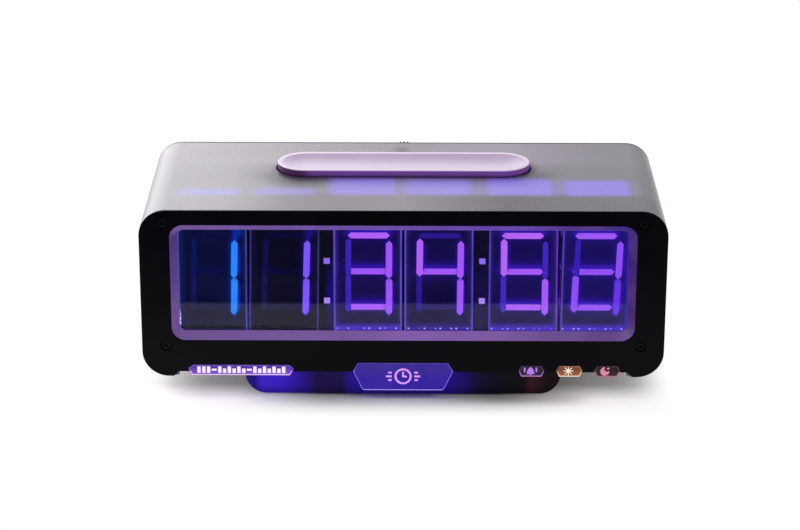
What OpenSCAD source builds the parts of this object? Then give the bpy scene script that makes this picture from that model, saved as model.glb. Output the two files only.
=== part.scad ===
// Table clock with six edge-lit digits, each made of seven engraved clear plates.
// Millimetres. X to the right, Y from the front to the rear, Z up from the table.
// The origin is on the table at the middle of the whole clock, so the front face is at -overall_d / 2.
// Depths are counted from the front face and heights from the housing's bottom edge.

/* [Housing] */
// Width of the housing
body_w = 230; // [200:1:300]
// Height of the housing
body_h = 77.5; // [70:0.5:100]
// Depth of the housing, front face to rear face
body_d = 96.5; // [92:0.5:140]
// Outer corner radius
corner_r = 11.7; // [8:0.1:14]
// Wall of the sleeve
wall = 3; // [2:0.1:4]
// Thickness of the front bezel, lip included
bezel_t = 4; // [3.5:0.1:6]
// Thickness of the rear cover, lip included
cover_t = 3; // [2.5:0.1:5]
// Height of the housing above the table
base_h = 11; // [10:0.1:20]
// How far the bottom edge steps up between the corners
bottom_step = 2.2; // [1.5:0.1:2.6]
// Width of each lower corner outside the step
corner_foot = 16; // [14:1:22]
// Lip of the bezel and of the rear cover over the ends of the sleeve
lip = 0.8; // [0.5:0.1:1.5]

/* [Window] */
// Black band at the left and right of the window
side_band = 13.2; // [12:0.1:20]
// Black band above the window
top_band = 6.7; // [5:0.1:10]
// Black band below the window
low_band = 17; // [14:0.1:22]
// Corner radius of the window
window_r = 6.2; // [5:0.1:10]
// Flat rim round the coloured frame
rim = 0.5; // [0.3:0.1:1]
// Slope of the coloured frame, across
bevel = 2.9; // [2:0.1:4]
// Thickness of the clear pane
pane_t = 2; // [1.5:0.1:3]

/* [Digits] */
// Depth where the first plate starts
stack_d = 23.5; // [18:0.5:28]
// Step from plate to plate
plate_step = 3; // [2.5:0.1:4]
// Air between neighbouring plates
plate_air = 0.1; // [0.05:0.05:0.3]
// Gap between the two digits of a pair
digit_gap = 2; // [1.6:0.1:4]
// Gap between the pairs, where the colons are
pair_gap = 7.4; // [6:0.1:12]
// Height of the middle segment
digit_mid = 36.5; // [30:0.5:50]
// Pitch of the segments, corner to corner
seg_l = 18; // [14:0.1:22]
// Width of a segment
seg_w = 3.2; // [2:0.1:4]
// Depth of the engraving
seg_cut = 0.4; // [0.2:0.1:1]
// Size of the square colon lights
dot = 2.6; // [2:0.1:3]
// How far right of the middle of their posts the colon lights stand
dot_shift = 0.5; // [0:0.1:0.5]
// Distance between the two lights of a colon
dot_pitch = 18.9; // [14:0.1:24]

/* [Snooze bar] */
// Length of the bar
bar_l = 114.4; // [90:0.1:130]
// Width of the bar
bar_w = 26.8; // [22:0.1:34]
// Height of the bar above the housing
bar_up = 3; // [2:0.1:5]
// Depth of the middle of the bar
bar_d = 59.8; // [58:0.1:64]
// Travel of the bar
bar_travel = 1.5; // [1:0.1:2]
// Radius of the dished top
dish_r = 46; // [40:1:80]
// Flat rim round the dish
bar_rim = 1.6; // [1:0.1:3]
// Free height of the two bar springs
spring_h = 10; // [8:0.5:12]

/* [Base] */
// Width of the plinth
base_w = 140; // [120:1:170]
// Depth where the plinth starts
base_front = 5; // [4.5:0.1:12]
// Depth of the plinth
base_d = 76; // [60:1:84]
// Corner radius of the plinth
base_r = 9.6; // [6:0.1:10]
// Wall of the plinth
base_wall = 2.6; // [2:0.1:4]
// How far the feet stand out of the plinth
foot_out = 0.8; // [0.5:0.1:2]

/* [Rear] */
// Diameter of the setting knob
knob_dia = 20; // [16:0.5:26]
// Length of the knob outside the rear cover
knob_l = 13.5; // [12:0.5:20]
// Distance of the knob and the rear buttons below the top
control_drop = 13.9; // [13.5:0.1:21.5]
// Distance of each rear button from the knob
button_x = 26; // [20:0.5:32]
// Diameter of a rear button
button_dia = 6.8; // [5:0.1:9]
// Travel of a rear button
button_travel = 0.8; // [0.5:0.1:1]

/* [Fits] */
// Clearance round parts that slide or turn
slide_fit = 0.05; // [0.02:0.01:0.1]
// Clearance round parts that are only put in place
fit = 0.15; // [0.1:0.05:0.3]
// Gap round the snooze bar
bar_gap = 0.6; // [0.4:0.1:1]

/* [Hidden] */
$fn = 48;

overall_d = body_d + knob_l;
y0 = -overall_d / 2;                         // front face
bottom_w = body_w - 2 * corner_foot;
inner_w = body_w - 2 * wall;
inner_r = corner_r - wall;
inner_top = body_h - wall;
rear_d = body_d - cover_t;                   // inner face of the rear cover
panel_top = bottom_step + 3;

window_w = body_w - 2 * side_band;
window_h = body_h - top_band - low_band;
window_mid = low_band + window_h / 2;

screw_x = window_w / 2 + 2.7;
screw_low = low_band - 2.5;
screw_top = body_h - 6.1;
m25_r = 1.25;
m25_head = 2.2;
pillar_r = 2.3;

shown_w = window_w - 3.2;                    // all six digits side by side
plate_w = (shown_w - 2 * pair_gap - 3 * digit_gap) / 6;
plate_t = plate_step - plate_air;
stack_end = stack_d + 7 * plate_step - plate_air;
pair_pitch = 2 * plate_w + digit_gap + pair_gap;
colon_x = pair_pitch / 2;
seg_x = seg_l / 2 + 0.25;                    // upright segments, from the middle of the digit

board_z = panel_top + 1.6;
board_t = 1.6;
led_h = 0.8;
comb_z = board_z + board_t;
plate_z = comb_z + 1.2;
comb_h = 4;
plate_top = inner_top - 1.2;
upper_z = plate_top - 3;
comb_lip = 0.9;
bracket_t = 1.2;

bar_top = body_h + bar_up;
bar_low = inner_top - 3.5;
dish_half = bar_w / 2 - bar_rim;
pin_x = bar_l / 2 - 11;
pin_r = 2;
shelf_t = 2;
shelf_top = bar_low + 1 - spring_h;
shelf_w = bar_l + 18;

main_z = panel_top + 5.8;
main_top = main_z + 1.6;
main_w = shelf_w - 14.4;
main_d = stack_end + 7;
main_l = rear_d - main_d - 3;

control_h = body_h - control_drop;
rear_board_d = rear_d - 8.9;
knob_gap = 0.5;
shaft_r = 2.5;
bush_r = 3.5;

usb_x = -main_w / 2 + 14;
label_x = -body_w / 2 + 43.4;
icon_x = [body_w / 2 - 58.25, body_w / 2 - 41.5, body_w / 2 - 24.8];

// ---- shared shapes ----

// Flat outline in width and height, made solid from one depth on.
module slab(depth, thick)
    translate([0, y0 + depth + thick, base_h])
        rotate([90, 0, 0])
            linear_extrude(thick)
                children();

// Box by its ranges: across, in depth from the front face and in height from the housing's bottom.
module block(x1, x2, d1, d2, h1, h2)
    translate([x1, y0 + d1, base_h + h1])
        cube([x2 - x1, d2 - d1, h2 - h1]);

// Round rod along the depth.
module rod(x, h, r, d1, d2)
    translate([x, y0 + d2, base_h + h])
        rotate([90, 0, 0])
            cylinder(r = r, h = d2 - d1);

// Upright round post.
module post(x, d, r, h1, h2)
    translate([x, y0 + d, base_h + h1])
        cylinder(r = r, h = h2 - h1);

module round_rect(w, h, r) {
    square([w - 2 * r, h], center = true);
    square([w, h - 2 * r], center = true);
    for (sx = [-1, 1], sy = [-1, 1])
        translate([sx * (w / 2 - r), sy * (h / 2 - r)])
            circle(r);
}

module stadium(l, w) {
    square([l - w, w], center = true);
    for (s = [-1, 1])
        translate([s * (l - w) / 2, 0])
            circle(w / 2);
}

module both_sides()
    for (s = [-1, 1])
        scale_x(s)
            children();

module scale_x(s)
    mirror([s < 0 ? 1 : 0, 0, 0])
        children();

module body_outline()
    translate([0, body_h / 2])
        round_rect(body_w, body_h, corner_r);

module inner_outline(gap = 0)
    translate([0, body_h / 2])
        round_rect(inner_w - 2 * gap, body_h - 2 * wall - 2 * gap, inner_r - gap);

// The housing's bottom edge slopes up between the corners.
module bottom_notch() {
    half = bottom_w / 2;
    polygon([[-half - bottom_step - 1, -1], [-half, bottom_step], [half, bottom_step],
        [half + bottom_step + 1, -1]]);
}

module window_outline(inset)
    translate([0, window_mid])
        round_rect(window_w - 2 * inset, window_h - 2 * inset, window_r - inset);

// What fits inside the sleeve and fills the step between its lower corners.
module plug_outline() {
    inner_outline(fit);
    translate([-bottom_w / 2 + fit, bottom_step])
        square([bottom_w - 2 * fit, wall]);
}

// The four places where screws hold the bezel and the rear cover to the pillars.
module at_corners()
    for (sx = [-1, 1], h = [screw_low, screw_top])
        translate([sx * screw_x, 0, h])
            children();

// Plate outlines along the bottom edge of the bezel.
module label_outline(gap = 0)
    translate([label_x, 0])
        polygon([[-23.4 - gap, 3.6], [-21.1, 5.2 + gap], [21.1, 5.2 + gap],
            [23.4 + gap, 3.6], [21.5, 0.4 - gap], [-21.5, 0.4 - gap]]);

// The badge hangs below the bezel and has round lower corners.
module badge_outline(gap = 0) {
    right = concat([[19.9 + gap, 6.3 + gap], [22.1 + gap, 2.4]],
        [for (i = [0:6]) [16.8 + (1.8 + gap) * cos(21.3 + 11.45 * i),
            -4.8 - (1.8 + gap) * sin(21.3 + 11.45 * i)]]);
    left = [for (i = [len(right) - 1:-1:0]) [-right[i][0], right[i][1]]];
    polygon(concat(right, left));
}

module icon_outline(x, gap = 0)
    translate([x, 0])
        polygon([[-5.7 - gap, 2.8], [-4.5 - gap, 5.1 + gap], [4.5 + gap, 5.1 + gap],
            [5.7 + gap, 2.8], [4.5 + gap, 0.1 - gap], [-4.5 - gap, 0.1 - gap]]);

// ---- housing ----

module front_bezel()
    color([0.05, 0.05, 0.06])
        difference() {
            union() {
                slab(0, lip)
                    difference() {
                        body_outline();
                        bottom_notch();
                    }
                slab(lip - 0.1, bezel_t - lip + 0.1)
                    plug_outline();
            }
            slab(-1, bezel_t + 2) {
                window_outline(0);
                label_outline(fit);
                badge_outline(fit);
                for (x = icon_x)
                    icon_outline(x, fit);
            }
            at_corners() {
                rod(0, 0, m25_head + 0.2, -1, 2.4);
                rod(0, 0, m25_r + fit, 0, bezel_t + 1);
            }
        }

// Opening with sloping sides: round at the corners, straight between them.
module bevel_opening() {
    half_w = window_w / 2 - window_r;
    half_h = window_h / 2 - window_r;
    r1 = window_r - rim;
    r2 = r1 - bevel;
    depth = bezel_t - fit;
    translate([0, y0, base_h + window_mid]) {
        for (sx = [-1, 1], sz = [-1, 1])
            translate([sx * half_w, depth, sz * half_h])
                rotate([90, 0, 0])
                    cylinder(r1 = r2, r2 = r1, h = depth);
        rotate([90, 0, 90])
            translate([0, 0, -half_w])
                linear_extrude(2 * half_w)
                    polygon([[0, -half_h - r1], [depth, -half_h - r2],
                        [depth, half_h + r2], [0, half_h + r1]]);
        translate([0, 0, -half_h])
            linear_extrude(2 * half_h)
                polygon([[-half_w - r1, 0], [half_w + r1, 0],
                    [half_w + r2, depth], [-half_w - r2, depth]]);
    }
}

module window_frame()
    color([0.45, 0.3, 0.6])
        difference() {
            slab(0, bezel_t - fit)
                window_outline(0.1);
            bevel_opening();
        }

module front_pane()
    color([0.8, 0.9, 0.95, 0.4])
        difference() {
            slab(bezel_t, pane_t)
                difference() {
                    inner_outline(fit);
                    translate([-body_w / 2, 0])
                        square([body_w, screw_low - 3.5]);
                }
            at_corners()
                rod(0, 0, m25_r + fit, 0, bezel_t + pane_t + 1);
        }

module outer_sleeve()
    color([0.6, 0.58, 0.64])
        difference() {
            slab(lip, body_d - 2 * lip)
                difference() {
                    body_outline();
                    inner_outline();
                    translate([-bottom_w / 2, -1])
                        square([bottom_w, wall + 2]);
                }
            translate([0, y0 + bar_d, base_h + inner_top - 1])
                linear_extrude(wall + 2)
                    stadium(bar_l + 2 * bar_gap, bar_w + 2 * bar_gap);
        }

module bottom_panel()
    color([0.1, 0.1, 0.12])
        difference() {
            union() {
                block(-bottom_w / 2 + fit, bottom_w / 2 - fit, bezel_t + fit, rear_d - fit,
                    bottom_step, wall + 0.1);
                block(-bottom_w / 2 - 4, bottom_w / 2 + 4, 9, rear_d - fit, wall, panel_top);
            }
            at_base_screws()
                post(0, 0, 1.5 + fit, 0, panel_top + 1);
            at_bracket_screws()
                post(0, 0, m25_r + slide_fit, 0, panel_top + 1);
            at_standoffs()
                post(0, 0, m25_r + slide_fit, bottom_step + 1, panel_top + 1);
        }

module corner_pillars()
    color([0.8, 0.7, 0.4])
        at_corners()
            difference() {
                rod(0, 0, pillar_r, bezel_t + pane_t, rear_d);
                rod(0, 0, m25_r + slide_fit, 0, bezel_t + pane_t + 12);
                rod(0, 0, m25_r + slide_fit, rear_d - 12, body_d);
            }

// Countersunk-in screw along the depth: head first, shank towards the rear or the front.
module socket_screw(head_d, dir, shank)
    difference() {
        union() {
            rod(0, 0, m25_head, head_d, head_d + 1.8);
            if (dir > 0)
                rod(0, 0, m25_r, head_d + 1.7, head_d + 1.8 + shank);
            else
                rod(0, 0, m25_r, head_d - shank, head_d + 0.1);
        }
        translate([0, y0 + (dir > 0 ? head_d + 1 : head_d + 1.9), base_h])
            rotate([90, 0, 0])
                cylinder(r = 1.15, h = 1.1, $fn = 6);
    }

module bezel_screws()
    color([0.2, 0.2, 0.22])
        at_corners()
            socket_screw(0.6, 1, 12);

module rear_screws()
    color([0.2, 0.2, 0.22])
        at_corners()
            socket_screw(body_d - 2.2, -1, 10);

module rear_cover()
    color([0.08, 0.08, 0.1])
        difference() {
            union() {
                slab(body_d - lip, lip)
                    difference() {
                        body_outline();
                        bottom_notch();
                    }
                slab(rear_d, cover_t - lip + 0.1)
                    plug_outline();
                slab(rear_d - 3, 3.1)
                    difference() {
                        inner_outline(fit);
                        inner_outline(2);
                        for (s = [-1, 1])
                            translate([s * screw_x, body_h / 2])
                                square([18, 2 * body_h], center = true);
                        translate([-body_w / 2, -1])
                            square([body_w, body_h / 2]);
                    }
                for (sx = [-1, 1], h = [control_h - 9, control_h + 7])
                    rod(sx * (button_x + 7), h, 2.6, rear_board_d + 1.6, rear_d + 0.1);
            }
            at_corners() {
                rod(0, 0, m25_r + fit, rear_d - 1, body_d + 1);
                rod(0, 0, m25_head + 0.2, body_d - 2.2, body_d + 1);
            }
            rod(0, control_h, bush_r + fit, rear_d - 1, body_d + 1);
            for (s = [-1, 1])
                rod(s * button_x, control_h, button_dia / 2 + slide_fit, rear_d - 1, body_d + 1);
            for (sx = [-1, 1], h = [control_h - 9, control_h + 7])
                rod(sx * (button_x + 7), h, m25_r + slide_fit, rear_board_d, rear_d + 0.5);
            slab(rear_d - 1, cover_t + 2) {
                translate([usb_x, main_top + 1.65])
                    stadium(9.8, 4);
                for (i = [0:8])
                    translate([42 + 5 * i, 26])
                        rotate(90)
                            stadium(18, 2);
            }
        }

// ---- digits ----

// Segment outline with pointed ends, lying along X.
module segment(l = seg_l - 0.3)
    polygon([[-l / 2, 0], [-l / 2 + seg_w / 2, seg_w / 2], [l / 2 - seg_w / 2, seg_w / 2],
        [l / 2, 0], [l / 2 - seg_w / 2, -seg_w / 2], [-l / 2 + seg_w / 2, -seg_w / 2]]);

// The plates from front to rear carry the segments b, c, f, e, a, g and d: place, height, upright.
plates = [[1, 0.5, true], [1, -0.5, true], [-1, 0.5, true], [-1, -0.5, true],
    [0, 1, false], [0, 0, false], [0, -1, false]];

module segment_at(p)
    translate([p[0] * seg_x, digit_mid + p[1] * seg_l])
        rotate(p[2] ? 90 : 0)
            segment();

// Middle of a digit: pairs are centred on the clock.
function digit_x(i) = (floor(i / 2) - 1) * pair_pitch + (i % 2 - 0.5) * (plate_w + digit_gap);

// Seven clear plates in a row, each with one segment engraved in its rear face.
module digit_stack(i)
    color([0.35, 0.3, 0.85, 0.6])
        translate([digit_x(i), 0, 0])
            for (k = [0:6])
                difference() {
                    block(-plate_w / 2, plate_w / 2, stack_d + k * plate_step,
                        stack_d + k * plate_step + plate_t, plate_z, plate_top);
                    slab(stack_d + k * plate_step + plate_t - seg_cut, seg_cut + 0.05)
                        segment_at(plates[k]);
                }

module digit_1() digit_stack(0);
module digit_2() digit_stack(1);
module digit_3() digit_stack(2);
module digit_4() digit_stack(3);
module digit_5() digit_stack(4);
module digit_6() digit_stack(5);

module comb_wells(h1, h2, gap)
    for (i = [0:5])
        translate([digit_x(i), 0, 0])
            block(-plate_w / 2 - gap, plate_w / 2 + gap, stack_d - gap, stack_end + gap, h1, h2);

module lower_comb()
    color([0.12, 0.12, 0.14])
        difference() {
            block(-shown_w / 2 - 0.35, shown_w / 2 + 0.35, stack_d - comb_lip, stack_end + comb_lip,
                comb_z, comb_z + comb_h);
            comb_wells(plate_z, comb_z + comb_h + 1, fit);
            comb_wells(comb_z - 1, plate_z + 0.1, -0.5);
        }

module upper_comb()
    color([0.12, 0.12, 0.14])
        difference() {
            block(-shown_w / 2 - 0.5 - bracket_t, shown_w / 2 + 0.5 + bracket_t,
                stack_d - comb_lip, stack_end + comb_lip, upper_z, plate_top);
            comb_wells(upper_z - 1, plate_top + 1, fit);
        }

// Sheet brackets at both ends of the row of digits, with feet on the bottom panel.
module side_brackets()
    color([0.7, 0.7, 0.72])
        both_sides() {
            block(shown_w / 2 + 0.5, shown_w / 2 + 0.5 + bracket_t, stack_d - comb_lip,
                stack_end + comb_lip, panel_top, upper_z);
            block(shown_w / 2 + 0.5, screw_x + 3, stack_d - comb_lip, stack_end + comb_lip,
                panel_top, panel_top + bracket_t);
        }

module rear_mask()
    color([0.05, 0.05, 0.08])
        block(-shown_w / 2, shown_w / 2, stack_end + fit, stack_end + fit + 1,
            comb_z + comb_h, upper_z);

// Hollow posts between the pairs, open at the rear, with a pair of square light openings.
post_w = pair_gap - 0.8;
module colon_posts()
    color([0.06, 0.06, 0.09])
        for (x = [-colon_x, colon_x])
            translate([x, 0, 0])
                difference() {
                    block(-post_w / 2, post_w / 2, stack_d, stack_end, comb_z + comb_h, upper_z);
                    block(-post_w / 2 + 1.2, post_w / 2 - 1.2, stack_d + 1.2, stack_end + 1,
                        comb_z + comb_h + 4, upper_z - 4);
                    for (s = [-1, 1])
                        block(dot_shift - dot / 2 - 0.1, dot_shift + dot / 2 + 0.1, stack_d - 1, stack_d + 2,
                            digit_mid + s * dot_pitch / 2 - dot / 2 - 0.1,
                            digit_mid + s * dot_pitch / 2 + dot / 2 + 0.1);
                }

// Light rods of the colons, held in the front wall of the posts.
module colon_lights()
    color([0.7, 0.6, 1])
        for (x = [-colon_x, colon_x])
            for (s = [-1, 1])
                translate([x + dot_shift, 0, digit_mid + s * dot_pitch / 2])
                    block(-dot / 2, dot / 2, stack_d - 0.1, stack_d + 8, -dot / 2, dot / 2);

module colon_boards()
    color([0.05, 0.25, 0.12])
        both_sides()
            translate([colon_x, 0, 0])
                block(-post_w / 2 + 1.3, post_w / 2 - 1.3, stack_d + 8, stack_d + 9.2,
                    comb_z + comb_h + 4, upper_z - 4);

// ---- boards under the digits ----

module display_board()
    color([0.05, 0.25, 0.12])
        block(-shown_w / 2, shown_w / 2, stack_d - 2, stack_end + 3.5, board_z, board_z + board_t);

module display_spacers()
    color([0.8, 0.8, 0.8])
        for (x = [-1, -0.5, 0, 0.5, 1], d = [stack_d + 3, stack_end - 3])
            post(x * (shown_w / 2 - 6), d, 3, panel_top, board_z);

// Four light-emitting chips under each plate.
led_pitch = 7.1;
module display_leds()
    color([0.95, 0.95, 0.9])
        for (i = [0:5], k = [0:6], j = [0:3])
            translate([digit_x(i) + (j - 1.5) * led_pitch, 0, 0])
                block(-1, 1, stack_d + k * plate_step + plate_t / 2 - 0.8,
                    stack_d + k * plate_step + plate_t / 2 + 0.8, comb_z, comb_z + led_h);

// Strip board behind the plates along the bottom edge of the bezel, lighting them from behind.
strip_d = bezel_t + 2.2;
module indicator_board()
    color([0.05, 0.25, 0.12])
        block(-bottom_w / 2 + 1, bottom_w / 2 - 1, strip_d, strip_d + 1.6,
            wall + 0.1, screw_low - 4.2);

strip_leds = concat([for (i = [-2:2]) label_x + 8 * i], [-14, -5, 5, 14], icon_x);
module indicator_leds()
    color([0.95, 0.95, 0.9])
        for (x = strip_leds)
            block(x - 1, x + 1, strip_d - 0.8, strip_d, wall + 0.3, wall + 2.3);

module edge_plate()
    color([0.6, 0.4, 0.9])
        slab(0.2, bezel_t - 0.2)
            children();

module label_plate() edge_plate() label_outline();
module badge_plate() edge_plate() badge_outline();
module bell_plate() edge_plate() icon_outline(icon_x[0]);
module sun_plate() edge_plate() icon_outline(icon_x[1]);
module moon_plate() edge_plate() icon_outline(icon_x[2]);

// ---- snooze bar ----

// Long rounded shape with a chamfered top edge, standing on a height.
module bar_solid(l, w, h1, h2, chamfer)
    translate([0, y0 + bar_d, base_h]) {
        translate([0, 0, h1])
            linear_extrude(h2 - h1 - chamfer)
                stadium(l, w);
        if (chamfer > 0) {
            for (s = [-1, 1])
                translate([s * (l - w) / 2, 0, h2 - chamfer])
                    cylinder(r1 = w / 2, r2 = w / 2 - chamfer, h = chamfer);
            translate([-(l - w) / 2, 0, h2 - chamfer])
                rotate([90, 0, 90])
                    linear_extrude(l - w)
                        polygon([[-w / 2, 0], [w / 2, 0], [w / 2 - chamfer, chamfer],
                            [-w / 2 + chamfer, chamfer]]);
        }
    }

// Hollow worn into the top by a ball rolled along the bar.
module dish() {
    run = (bar_l - bar_w) / 2;
    lift = sqrt(dish_r * dish_r - dish_half * dish_half);
    translate([0, y0 + bar_d, base_h + bar_top + lift]) {
        rotate([0, 90, 0])
            cylinder(r = dish_r, h = 2 * run, center = true, $fn = 180);
        for (s = [-1, 1])
            translate([s * run, 0, 0])
                sphere(r = dish_r, $fn = 180);
    }
}

module snooze_bar()
    color([0.75, 0.7, 0.85]) {
        difference() {
            bar_solid(bar_l, bar_w, bar_low + 0.9, bar_top, 0.4);
            dish();
            bar_solid(bar_l - 4.4, bar_w - 4.4, bar_low - 1, body_h - 0.6, 0);
        }
        translate([0, y0 + bar_d, base_h]) {
            for (s = [-1, 1])
                translate([s * pin_x, 0, bar_low + 1])
                    cylinder(r = 3.6, h = body_h - bar_low - 1.5);
            for (s = [-1, 1])
                translate([s * pin_x, 0, shelf_top - 9])
                    cylinder(r = pin_r, h = body_h - shelf_top + 8.5);
            translate([0, 0, shelf_top + 6 + bar_travel])
                cylinder(r = 2.5, h = body_h - shelf_top - 6.5 - bar_travel);
        }
        both_sides()
            block(bar_l / 2 - 2.5, bar_l / 2 + 3, bar_d - 5, bar_d + 5, bar_low + 0.9,
                inner_top - 0.1);
    }

// Two open coils round the pins of the bar.
module snooze_springs()
    color([0.8, 0.8, 0.82])
        for (s = [-1, 1])
            translate([s * pin_x, y0 + bar_d, base_h + shelf_top]) {
                difference() {
                    cylinder(r = 3.35, h = 0.7);
                    translate([0, 0, -1])
                        cylinder(r = 2.65, h = 3);
                }
                translate([0, 0, 0.3])
                    linear_extrude(height = spring_h - 0.6, twist = -360 * 4, slices = 56, $fn = 8)
                        translate([3, 0])
                            circle(r = 0.35);
                translate([0, 0, spring_h - 0.7])
                    difference() {
                        cylinder(r = 3.35, h = 0.7);
                        translate([0, 0, -1])
                            cylinder(r = 2.65, h = 3);
                    }
            }

module at_bracket_screws()
    for (sx = [-1, 1], d = [bar_d - 5, bar_d + 5])
        translate([sx * (shelf_w / 2 + 6), d, 0])
            children();

module snooze_bracket()
    color([0.7, 0.7, 0.72])
        difference() {
            union() {
                block(-shelf_w / 2, shelf_w / 2, bar_d - 9, bar_d + 9, shelf_top - shelf_t, shelf_top);
                both_sides() {
                    block(shelf_w / 2 - 2, shelf_w / 2, bar_d - 9, bar_d + 9, panel_top, shelf_top);
                    block(shelf_w / 2 - 2, shelf_w / 2 + 12, bar_d - 9, bar_d + 9, panel_top,
                        panel_top + 2);
                    post(pin_x, bar_d, 4, shelf_top - 7, shelf_top - 1);
                }
            }
            both_sides()
                post(pin_x, bar_d, pin_r + slide_fit, shelf_top - 10, shelf_top + 1);
            at_bracket_screws()
                post(0, 0, m25_r + slide_fit, 0, panel_top + 5);
        }

module snooze_switch()
    color([0.15, 0.15, 0.16]) {
        block(-3, 3, bar_d - 3, bar_d + 3, shelf_top, shelf_top + 3.5);
        post(0, bar_d, 1.7, shelf_top + 3.4, shelf_top + 6);
    }

module pan_screw(h, shank) {
    post(0, 0, m25_head, h, h + 1.6);
    post(0, 0, m25_r, h - shank, h + 0.1);
}

module bracket_screws()
    color([0.75, 0.75, 0.78])
        at_bracket_screws()
            pan_screw(panel_top + 2, 4.4);

// ---- electronics ----

module at_standoffs()
    for (sx = [-1, 1], d = [main_d + 4, main_d + main_l - 4])
        translate([sx * (main_w / 2 - 4), d, 0])
            children();

module main_board()
    color([0.05, 0.25, 0.12])
        difference() {
            block(-main_w / 2, main_w / 2, main_d, main_d + main_l, main_z, main_top);
            at_standoffs()
                post(0, 0, m25_r + fit, main_z - 1, main_top + 1);
        }

module board_standoffs()
    color([0.8, 0.7, 0.4])
        at_standoffs()
            difference() {
                post(0, 0, 2.6, panel_top, main_z);
                post(0, 0, m25_r + slide_fit, panel_top - 1, main_z + 1);
            }

module board_screws()
    color([0.75, 0.75, 0.78])
        at_standoffs()
            pan_screw(main_top, 8.4);

module controller_module()
    color([0.7, 0.7, 0.72]) {
        block(-8, 12, main_d + 8, main_d + 33, main_top, main_top + 0.9);
        block(-7, 11, main_d + 9, main_d + 25, main_top + 0.8, main_top + 3.2);
    }

cell_x = usb_x + 13;
cell_at = main_d + 16;
module cell_holder()
    color([0.1, 0.1, 0.11])
        difference() {
            post(cell_x, cell_at, 11.6, main_top, main_top + 4.6);
            post(cell_x, cell_at, 10 + fit, main_top + 0.8, main_top + 6);
            block(cell_x - 5, cell_x + 5, cell_at - 14, cell_at - 7, main_top + 0.8, main_top + 6);
        }

module coin_cell()
    color([0.8, 0.8, 0.8]) {
        post(cell_x, cell_at, 10, main_top + 0.8, main_top + 3.4);
        post(cell_x, cell_at, 9, main_top + 3.3, main_top + 4);
    }

module capacitors()
    color([0.15, 0.2, 0.4])
        for (x = [31, 19])
            post(main_w / 2 - x, main_d + 10, 4, main_top, main_top + 11);

module driver_chips()
    color([0.1, 0.1, 0.1])
        for (x = [35, 23, 11])
            block(main_w / 2 - x - 4, main_w / 2 - x + 4, main_d + 19, main_d + 24,
                main_top, main_top + 1.5);

module usb_socket()
    color([0.7, 0.7, 0.72])
        difference() {
            slab(main_d + main_l - 4.5, body_d - main_d - main_l + 3.5)
                translate([usb_x, main_top + 1.65])
                    stadium(9, 3.3);
            slab(main_d + main_l - 2, body_d - main_d - main_l + 3.5)
                translate([usb_x, main_top + 1.65])
                    stadium(8.3, 2.6);
        }

// Flat cable that arches from the display board to the main board, with a plug at each end.
module link_cable() {
    leg1 = stack_end + 2.2;
    leg2 = main_d + 2.2;
    mid = (leg1 + leg2) / 2;
    r = (leg2 - leg1) / 2;
    color([0.85, 0.85, 0.8]) {
        block(-9, 9, leg1 - 1.1, leg1 + 1.1, board_z + board_t, board_z + board_t + 3.6);
        block(-9, 9, leg2 - 1.5, leg2 + 1.5, main_top, main_top + 3);
        block(-8, 8, leg1 - 0.3, leg1 + 0.3, board_z + board_t + 3.5, main_top + 6);
        block(-8, 8, leg2 - 0.3, leg2 + 0.3, main_top + 2.9, main_top + 6);
        translate([-8, y0 + mid, base_h + main_top + 6])
            rotate([90, 0, 90])
                linear_extrude(16)
                    difference() {
                        circle(r + 0.3);
                        circle(r - 0.3);
                        translate([-2 * r, -2 * r])
                            square([4 * r, 2 * r]);
                    }
    }
}

// ---- plinth ----

module at_base_screws()
    for (sx = [-1, 1], d = [base_front + 12, base_front + base_d - 10])
        translate([sx * (base_w / 2 - 13), d, 0])
            children();

pod_low = foot_out - base_h;

// Outline of the plinth: flat top, round lower corners.
module pod_outline(inset)
    difference() {
        translate([0, pod_low + inset + 20])
            round_rect(base_w - 2 * inset, 40, base_r - inset);
        translate([-base_w, bottom_step])
            square([2 * base_w, 60]);
    }

module base_pod()
    color([0.1, 0.1, 0.18])
        difference() {
            union() {
                difference() {
                    slab(base_front, base_d)
                        pod_outline(0);
                    slab(base_front + base_wall, base_d - 2 * base_wall)
                        pod_outline(base_wall);
                    block(-base_w / 2 + base_r, base_w / 2 - base_r, base_front + base_wall,
                        base_front + base_d - base_wall, 0, bottom_step + 1);
                }
                at_base_screws()
                    post(0, 0, 4.4, pod_low + 0.5, bottom_step);
            }
            at_base_screws() {
                post(0, 0, 1.5 + fit, pod_low - 1, bottom_step + 1);
                post(0, 0, 3.1, pod_low - 1, pod_low + 3.2);
            }
            at_feet()
                post(0, 0, 5.2, pod_low - 1, pod_low + 0.8);
            for (a = [0:60:300])
                post(sounder_x + 5 * cos(a), sounder_d + 5 * sin(a), 1, pod_low - 1,
                    pod_low + base_wall + 1);
            post(sounder_x, sounder_d, 1, pod_low - 1, pod_low + base_wall + 1);
        }

module base_screws()
    color([0.75, 0.75, 0.78])
        at_base_screws() {
            post(0, 0, 2.75, pod_low + 1, pod_low + 3.2);
            post(0, 0, 1.5, pod_low + 3.1, panel_top - 0.3);
        }

module ballast_plate()
    color([0.5, 0.5, 0.52])
        block(-base_w / 2 + 26, sounder_x - 20, base_front + 16, base_front + base_d - 20,
            pod_low + base_wall, pod_low + base_wall + 6);

sounder_x = base_w / 2 - 34;
sounder_d = base_front + base_d / 2 - 2;
module sounder()
    color([0.1, 0.1, 0.11])
        difference() {
            post(sounder_x, sounder_d, 10.5, pod_low + base_wall, pod_low + base_wall + 6);
            post(sounder_x, sounder_d, 7, pod_low + base_wall - 1, pod_low + base_wall + 1.2);
        }

module at_feet()
    for (sx = [-1, 1], d = [base_front + 12, base_front + base_d - 10])
        translate([sx * (base_w / 2 - 26), d, 0])
            children();

module rubber_feet()
    color([0.08, 0.08, 0.08])
        at_feet()
            post(0, 0, 5, pod_low - foot_out, pod_low + 0.8);

// ---- rear controls ----

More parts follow.
